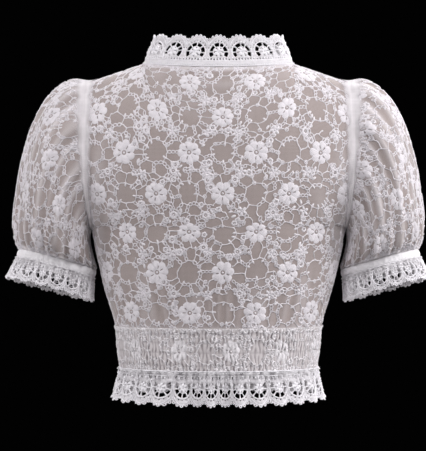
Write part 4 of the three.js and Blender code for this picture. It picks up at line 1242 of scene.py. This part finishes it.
def small_holes(lace, turn, dice):
    """Holes too fine for the solids, as (x, y, radius, tall): in the picots, outside the arch, in the flower,
    between two arches and in a row of slots above the heading. turn is the flower's."""
    holes = []
    half = lace["pitch"] / 2
    for x, y in picot_middles(lace):
        holes.append((x, y, 0.75, 1))
    reach = lace["arch"]["outer"] + 2.3
    for i in range(lace["outer_holes"]):
        angle = math.radians(8) + math.radians(164) * i / (lace["outer_holes"] - 1)
        x, y = reach * math.cos(angle), lace["flower"] + reach * math.sin(angle)
        if abs(x) < half - 1.6 and y < scallop_edge(lace, x) - 1.9:
            holes.append((x, y, dice.uniform(0.75, 1.1), 1))
    for i in range(FLOWER_PETALS):
        angle = turn + (i + 0.5) / FLOWER_PETALS * TURN
        for away, wide in ((0.86, 0.16), (0.52, 0.1)):
            reach, radius = away * lace["radius"], wide * lace["radius"]
            holes.append((reach * math.cos(angle), lace["flower"] + reach * math.sin(angle), radius, 1))
    low = lace["heading"] + 2.2
    for share in (-0.84, -0.6, -0.36, -0.12, 0.12, 0.36, 0.6, 0.84):
        holes.append((share * half, low + dice.uniform(-0.4, 0.6), dice.uniform(0.75, 1.0), 1.7))
    for side in (-1, 1):
        for level in (0.34, 0.47, 0.64, 0.86):
            holes.append((side * half * 0.87, lace["valley"] * level, dice.uniform(1.2, 1.45), 1.5))
    arch = lace["arch"]
    kept = []
    for x, y, radius, tall in holes:
        away, angle = math.hypot(x, y - lace["flower"]), math.degrees(math.atan2(y - lace["flower"], x))
        angle = angle + 360 if angle < -90 else angle
        reach = radius * tall + 0.5
        in_arch = arch["start"] - 6 < angle < arch["end"] + 6
        in_arch = in_arch and arch["inner"] - reach < away < arch["outer"] + reach
        touches = any(math.hypot(x - a, y - b) < radius * tall + c * d + 0.5 for a, b, c, d in kept)
        if not in_arch and not touches:
            kept.append((x, y, radius, tall))
    return [round_hole(x, y, radius, 6, tall) for x, y, radius, tall in kept]


def inside(points, polygon):
    """Which points lie inside a polygon."""
    x, y = points[:, 0], points[:, 1]
    result = np.zeros(len(points), bool)
    for (ax, ay), (bx, by) in zip(polygon, np.roll(polygon, -1, axis=0)):
        crosses = (ay > y) != (by > y)
        with np.errstate(divide="ignore", invalid="ignore"):
            result ^= crosses & (x < (bx - ax) * (y - ay) / (by - ay) + ax)
    return result


def lace_repeat(lace, arch, turn, dice):
    """One repeat of edging as flat points and triangles, with its holes left open."""
    half = lace["pitch"] / 2
    edge = picot_edge(lace, np.linspace(0, 1, 6 * lace["picots"] + 1))
    levels = np.linspace(0, lace["valley"], 8)[1:-1]
    seam = np.column_stack([np.linspace(-half, half, 9), np.zeros(9)])
    right = np.column_stack([np.full(len(levels), half), levels])
    left = right[::-1] * [-1, 1]
    outline = np.vstack([seam, right, edge, left])
    holes = [patch(lace, start, end, dice) for start, end in arch] + small_holes(lace, turn, dice)
    spread = [(x, y) for y in levels for x in np.linspace(-half, half, 7)[1:-1]]
    blocked = np.zeros(len(spread), bool)
    for hole in holes:
        grown = hole.mean(axis=0) + (hole - hole.mean(axis=0)) * 1.25
        blocked |= inside(np.array(spread), grown)
    spread = np.array(spread)[~blocked]
    loops = [outline] + holes
    points = np.vstack(loops + [spread])
    edges, start = [], 0
    for loop in loops:
        edges += [(start + i, start + (i + 1) % len(loop)) for i in range(len(loop))]
        start += len(loop)
    found, _, triangles, _, _, _ = delaunay_2d_cdt([Vector(p) for p in points], edges, [], 0, 1e-4)
    found = np.array([tuple(p) for p in found])
    triangles = np.array([tuple(t) for t in triangles])
    centres = found[triangles].mean(axis=1)
    keep = inside(centres, outline)
    for hole in holes:
        keep &= ~inside(centres, hole)
    return found, triangles[keep]


def lace_relief(lace, gaps, turn, dice):
    """Raised work of one repeat: a flower, cords on both sides of the arch, bars, picots and a heading."""
    centre, radius, arch = lace["flower"], lace["radius"], lace["arch"]
    half = lace["pitch"] / 2
    parts = [(petals(FLOWER_PETALS, radius, radius * 0.2, 1.3, 0.3, 6, 4, True), 0, centre, turn)]
    sweep = np.radians(np.linspace(arch["start"], arch["end"], 25))
    for reach, width in ((arch["outer"] + 0.8, 1.2), (arch["inner"] - 0.6, 0.8)):
        cord = np.column_stack([reach * np.cos(sweep), centre + reach * np.sin(sweep)])
        parts.append((ribbon(np.clip(cord, [-half, 0], [half, np.inf]), width, 0.9), 0, 0, 0))
    bars = [end + BAR / (arch["inner"] + arch["outer"]) for _, end in gaps[:-1]]
    for angle in bars:
        ends = (arch["inner"] - 1, arch["outer"] + 1)
        bar = [(r * math.cos(angle), centre + r * math.sin(angle)) for r in ends]
        parts.append((ribbon(bar, BAR, 0.8), 0, 0, 0))
    for x, y in picot_middles(lace):
        parts.append((ring(1.25, 0.9, 0.9, 7), x, y, 0))
    rim = picot_edge(lace, np.linspace(1, 0, 6 * lace["picots"] + 1), 0.6)
    parts.append((ribbon(rim, 0.9, 0.7), 0, 0, 0))
    # A cord that follows the scallop further in
    x = np.linspace(-half * 0.96, half * 0.96, 17)
    y = scallop_edge(lace, x) * 0.2 + 0.8 * lace["valley"] - 3.6
    y = y + 8 * (1 - (x / half) ** 2) * (lace["height"] - lace["valley"]) / 9
    parts.append((ribbon(np.column_stack([x, y]), 0.9, 0.6), 0, 0, 0))
    for share in (-0.72, -0.48, -0.24, 0, 0.24, 0.48, 0.72):
        up = lace["heading"] + 2.2 + dice.uniform(-0.3, 0.3)
        parts.append((dome(1.0, 0.8, 6, 1.5), share * half, up, math.pi / 2))
    for side in (-1, 1):
        for level in (0.38, 0.54, 0.76):
            place = (side * half * 0.88, lace["valley"] * level)
            parts.append((dome(1.15, 0.9, 6, 1.3), *place, dice.uniform(0, 3)))
    for level, width in ((0.9, 1.3), (lace["heading"], 0.9)):
        heading = np.column_stack([np.linspace(-half, half, 9), np.full(9, level)])
        parts.append((ribbon(heading, width, 0.5), 0, 0, 0))
    return join(parts)


def edging(name, lace, first, count, place, node, mirror=1, crease=None):
    """A run of repeats as a thin double-faced sheet with relief on its outer face."""
    dice = random.Random(first + count)
    outer, inner, sheet_flat, all_triangles, relief, relief_flat, relief_faces = [], [], [], [], [], [], []
    sheet_valley, relief_valley = [], []

    # Painted shade: how deep a point lies in the troughs of the gathered creases, which darkens the sheet and
    # the cords.
    def valley(at, h):
        return np.clip(-crease(at, h / lace["height"]), 0, 1) if crease else np.zeros(len(at))

    sheet_count = relief_count = 0
    for i in range(first, first + count):
        gaps, turn = arch_holes(lace, dice), dice.uniform(0, TURN / FLOWER_PETALS)
        points, triangles = lace_repeat(lace, gaps, turn, dice)
        at = i + points[:, 0] / lace["pitch"]
        outer.append(place(at, points[:, 1], 0.0))
        inner.append(place(at, points[:, 1], SHEET_THICKNESS))
        sheet_flat.append(points + [i * lace["pitch"], 0])
        sheet_valley.append(valley(at, points[:, 1]))
        all_triangles.append(triangles + sheet_count)
        sheet_count += len(points)
        points, faces = lace_relief(lace, gaps, turn, dice)
        at = i + points[:, 0] / lace["pitch"]
        relief.append(place(at, points[:, 1], -points[:, 2]))
        relief_valley.append(valley(at, points[:, 1]))
        relief_flat.append(points[:, :2] + [i * lace["pitch"], 0])
        relief_faces += [tuple(v + relief_count for v in face) for face in faces]
        relief_count += len(points)
    outer, inner, all_triangles = np.vstack(outer), np.vstack(inner), np.vstack(all_triangles)
    merged, index = weld(outer)
    outer, inner = outer[merged], inner[merged]
    cloth_flat = np.vstack(sheet_flat)[merged]
    all_triangles = index[all_triangles]
    m = len(outer)
    rim = open_edges(all_triangles)
    faces = [tuple(t) for t in all_triangles] + [(c + m, b + m, a + m) for a, b, c in all_triangles]
    faces += [(b, a, a + m, b + m) for a, b in rim]
    side = [mirror, 1, 1]
    hollow = np.concatenate(sheet_valley)[merged]
    sheet = make_piece(
        name, np.vstack([outer, inner]) * side, faces, EDGE_GROUND, "edging_lace",
        np.vstack([cloth_flat, cloth_flat]), valley=np.concatenate([hollow, hollow]),
    )
    cords = make_piece(
        name + "_cords", np.vstack(relief) * side, relief_faces, EDGE_LACE, "edging_lace",
        np.vstack(relief_flat), valley=np.concatenate(relief_valley),
    )
    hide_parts(node)
    return sheet


def weld(points):
    """Joins points that lie on each other: which to keep, and each point's new number."""
    keys = np.round(points, 3)
    _, kept, index = np.unique(keys, axis=0, return_index=True, return_inverse=True)
    return kept, index.ravel()


def open_edges(triangles):
    directed = set()
    for a, b, c in triangles:
        directed |= {(int(a), int(b)), (int(b), int(c)), (int(c), int(a))}
    return [(a, b) for a, b in directed if (b, a) not in directed]


# overlap: mm that it reaches below the neckline. over: how far it stands out there, up to over_up.
COLLAR = dict(repeats=17, back=7, lean=0.4, side_drop=0.08, ripple=1.1, overlap=0.9, over=0.9, over_up=4)
neck_angle, neck_length = evenly(neckline)


def collar(place, h, depth):
    angle = neck_angle(place / COLLAR["repeats"])
    point = neckline(angle)
    tangent = unit(neckline(angle + 0.01) - neckline(angle - 0.01))
    inward = unit(point * [-1, -1, 0])
    up = np.array([0, 0, 1.0]) - 0.8 * tangent[..., 2:] * tangent
    rising = unit(up + COLLAR["lean"] * inward)
    out = unit(np.cross(tangent, rising))
    out = np.where((np.sum(out * inward, axis=-1) > 0)[..., None], -out, out)
    ripple = COLLAR["ripple"] * h / COLLAR_LACE["height"] * np.cos(TURN * place)
    height = h * (1 - COLLAR["side_drop"] * np.sin(angle) ** 2)
    over = COLLAR["over"] * (1 - smoothstep(h, 0, COLLAR["over_up"]))
    return point + rising * (height - COLLAR["overlap"])[..., None] + out * (ripple + over - depth)[..., None]


HEM = dict(repeats=28, flare=8, wave=4, back_dip=4, first_back=-6, over=1.7, crease=1.7, raised=1.2)
# Where scallops of the back stand, in mm from the centre back, and which way their waves go
HEM_SCALLOPS = rows_of(
    "scallop along out",
    (-3, -72, 1),
    (-2, -43, 1.1),
    (-1, -26, -1.3),
    (0, -9, 1.2),
    (1, 8, -1.3),
    (2, 25, 1.2),
    (3, 49, 1),
    (4, 75, 1),
    (5, 101, 1),
)
hem_angle, hem_length = evenly(lambda angle: waist(angle, BAND_BOTTOM_Z, 0))
FIRST_SCALLOP = HEM_SCALLOPS[0]
HEM_TABLE = HEM_SCALLOPS + [
    dict(scallop=FIRST_SCALLOP["scallop"] + HEM["repeats"], along=FIRST_SCALLOP["along"] + hem_length, out=1)
]


def gather_crease(at, per_repeat, share):
    """Small creases that run down from a gathered seam and die out, from -1 to 1."""
    wander = per_repeat * at + 0.22 * np.sin(5.1 * at) + 0.15 * np.sin(11.7 * at)
    length = 0.55 + 0.25 * np.sin(7.3 * at + 1)
    return np.cos(TURN * wander) * smoothstep(share, 0, 0.05) * (1 - smoothstep(share, 0.15, length))


def hem_crease(at, share):
    return gather_crease(at, 4, share)


def cuff_crease(at, share):
    return gather_crease(at, 3, share)


def hem(at, h, depth):
    scallop = np.where(at < FIRST_SCALLOP["scallop"], at + HEM["repeats"], at)
    angle = hem_angle(along(HEM_TABLE, "scallop", "along", scallop) / hem_length)
    share = h / HEM_LACE["height"]
    crest = 0.5 + 0.5 * np.cos(TURN * at)
    wave = HEM["wave"] * share * crest * along(HEM_TABLE, "scallop", "out", scallop)
    dip = HEM["back_dip"] * share * np.maximum(0, np.cos(angle))
    over = HEM["over"] * (1 - smoothstep(share, 0, 0.12))
    flare = HEM["flare"] * np.maximum(share, 0) ** 1.2
    out = 0.5 + over + flare + wave + HEM["crease"] * hem_crease(at, share) - depth
    points = waist(angle, BAND_BOTTOM_Z, out)
    points[..., 2] -= h + dip - HEM["raised"]
    return points


FRILL = dict(repeats=16, flare=6.5, wave=1.4, over=1.3, crease=1.2, raised=0.8)
cuff_angle, cuff_length = evenly(lambda angle: cuff(angle, 0, 0))


def cuff_frill(at, h, depth):
    share = np.maximum(h / CUFF_LACE["height"], 0)
    wave = FRILL["wave"] * share * np.cos(TURN * at)
    over = FRILL["over"] * (1 - smoothstep(share, 0, 0.12))
    out = 0.6 + over + FRILL["flare"] * share**1.2 + wave + FRILL["crease"] * cuff_crease(at, share) - depth
    return cuff(cuff_angle(at / FRILL["repeats"]), CUFF_HEIGHT - FRILL["raised"] + h, out)


def add_edgings():
    edging("collar_lace_back", COLLAR_LACE, -3, 7, collar, "collar_back")
    half = HEM["repeats"] // 2
    for side, first in (("back", HEM["first_back"]), ("front", HEM["first_back"] + half)):
        node = "hem_frill_" + side
        edging("hem_lace_" + side, HEM_LACE, first, half, hem, node, crease=hem_crease)
    for side, mirror in (("right", 1), ("left", -1)):
        node = "collar_front_" + side
        edging("collar_lace_" + side, COLLAR_LACE, 4, 5, collar, node, mirror)
        half = FRILL["repeats"] // 2
        for part, first in (("front", 0), ("back", half)):
            edging(
                f"cuff_lace_{part}_{side}", CUFF_LACE, first, half,
                lambda at, h, depth: cuff_frill(at + 0.5, h, depth),
                f"cuff_frill_{part}_{side}", mirror,
                lambda at, share: cuff_crease(at + 0.5, share),
            )


# Stitches

STITCH = dict(gap=3.2, half_width=0.35, rise=0.5)
BAND_STITCHES = dict(count=70, first=0.02, reach=1.93)
COLLAR_STITCHED = dict(start=0.03, up=2.2)  # the start is in repeats from the centre front


def stitches(name, surface, count, slot, mirror=1):
    """A row of sewing stitches. surface gives the points at shares of the way and heights above the cloth."""
    share = (np.arange(count)[:, None] + np.array([0.16, 0.5, 0.84])) / count
    low = surface(share, 0.1)
    out = unit(surface(share, 1.1) - low)
    side = unit(np.cross(out, np.gradient(low, axis=1)))
    rows = [low - side * STITCH["half_width"], low + out * STITCH["rise"], low + side * STITCH["half_width"]]
    points = np.stack(rows, axis=2).reshape(-1, 3) * [mirror, 1, 1]
    faces = strip_faces(count, share.shape[1], len(rows))
    flat = np.column_stack([np.arange(len(points)) * 0.4, np.tile([0, 0.4, 0.8], len(points) // 3)])
    make_piece(name, points, faces, STITCH_THREAD, slot, flat)


def band_line(v, up):
    """Points of the button band's top, near its edge."""
    x = BUTTON_BAND["seam"] * BUTTON_BAND["half"]
    u = NEAR_CENTRE * x / bodice(FRONT, NEAR_CENTRE, v)[..., 0]
    _, facing = front_frame(v)
    return bodice(FRONT, u, v) + facing * (band_lift(v) + BAND - BUTTON_BAND["dip"] + up)[..., None]


def waist_line(share, up):
    return waist(share * TURN, WAIST_Z - 0.6, 1.1 + up)


def hem_line(share, up):
    return hem(HEM["first_back"] + share * HEM["repeats"], 2.6, -0.5 - up)


def collar_line(share, up):
    start = COLLAR_STITCHED["start"]
    place = COLLAR["repeats"] / 2 + start + share * (COLLAR["repeats"] - 2 * start)
    return collar(place, COLLAR_STITCHED["up"], -0.5 - up)


def cuff_line(share, up):
    return cuff(share * TURN, CUFF_HEIGHT * CUFF_BAND["seam"], 0.35 + up)


def button_line(share, up):
    return band_line(BAND_STITCHES["first"] + share * BAND_STITCHES["reach"], up)


def add_stitches():
    whole, neck, wrist = (int(length / STITCH["gap"]) for length in (hem_length, neck_length, cuff_length))
    stitches("waist_stitches", waist_line, whole, "floral_lace")
    stitches("hem_stitches", hem_line, whole, "edging_lace")
    stitches("collar_stitches", collar_line, neck, "edging_lace")
    for side, mirror in (("right", 1), ("left", -1)):
        stitches("cuff_stitches_" + side, cuff_line, wrist, "cotton_band", mirror)
        stitches("button_band_stitches_" + side, button_line, BAND_STITCHES["count"], "cotton_band", mirror)


# Floor, lights and camera

FLOOR_Z, FLOOR_HALF = -1.35, 1.7  # metres
CAMERA = dict(x=-7.15, y=-2500, z=-210, focal=1923, width=426)


def add_stage():
    corners = ((-1, -1), (1, -1), (1, 1), (-1, 1))
    points = np.array([[x * FLOOR_HALF, y * FLOOR_HALF, FLOOR_Z] for x, y in corners])
    mesh = bpy.data.meshes.new("floor")
    mesh.from_pydata(points.tolist(), [], [(0, 1, 2, 3)])
    mesh.materials.append(floor_material("floor_paint"))
    floor = bpy.data.objects.new("floor", mesh)
    bpy.context.scene.collection.objects.link(floor)
    floor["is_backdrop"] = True


def add_light(name, place, target, size, power, color=(1, 0.985, 1)):
    data = bpy.data.lights.new(name, "AREA")
    data.shape = "DISK"
    data.size = size
    data.energy = power
    data.color = color
    light = bpy.data.objects.new(name, data)
    light.location = place
    light.rotation_euler = (Vector(target) - Vector(place)).to_track_quat("-Z", "Y").to_euler()
    bpy.context.scene.collection.objects.link(light)


def add_lights():
    """A key and a fill light for the back and the same for the front, one above and one at each side."""
    aim = (0, 0, -0.2)
    for side, name in ((-1, "back"), (1, "front")):
        add_light(name + "_key", (1.1, 1.6 * side, 1.6), aim, 1.2, 50)
        add_light(name + "_fill", (-1.3, 1.8 * side, 0.9), aim, 1.5, 27)
    add_light("top", (0, 0, 1.9), aim, 1.5, 7)
    add_light("right_side", (2.3, -0.3, 0.2), aim, 1.4, 47)
    add_light("left_side", (-2.3, -0.3, 0.2), aim, 1.4, 26)
    world = bpy.data.worlds.new("studio")
    world.use_nodes = True
    world.node_tree.nodes["Background"].inputs["Color"].default_value = (0.0006, 0.0006, 0.0006, 1)
    bpy.context.scene.world = world


def add_camera():
    data = bpy.data.cameras.new("camera")
    data.sensor_fit = "HORIZONTAL"
    data.sensor_width = 36
    data.lens = data.sensor_width * CAMERA["focal"] / CAMERA["width"]
    camera = bpy.data.objects.new("camera", data)
    camera.location = (CAMERA["x"] * MM, CAMERA["y"] * MM, CAMERA["z"] * MM)
    camera.rotation_euler = (math.radians(90), 0, 0)
    bpy.context.scene.collection.objects.link(camera)
    bpy.context.scene.camera = camera
    bpy.context.scene.view_settings.view_transform = "Standard"


add_camera()
add_bodice()
for side_name, side_mirror in (("right", 1), ("left", -1)):
    add_sleeve(side_name, side_mirror)
    add_cuff_band(side_name, side_mirror)
    add_armhole_bands(side_name, side_mirror)
add_waistband()
add_button_band()
add_buttons()
add_edgings()
add_stitches()
add_stage()
add_lights()

[[list(map(float, corner)) for corner in box] for box in (cad_box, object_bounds())]
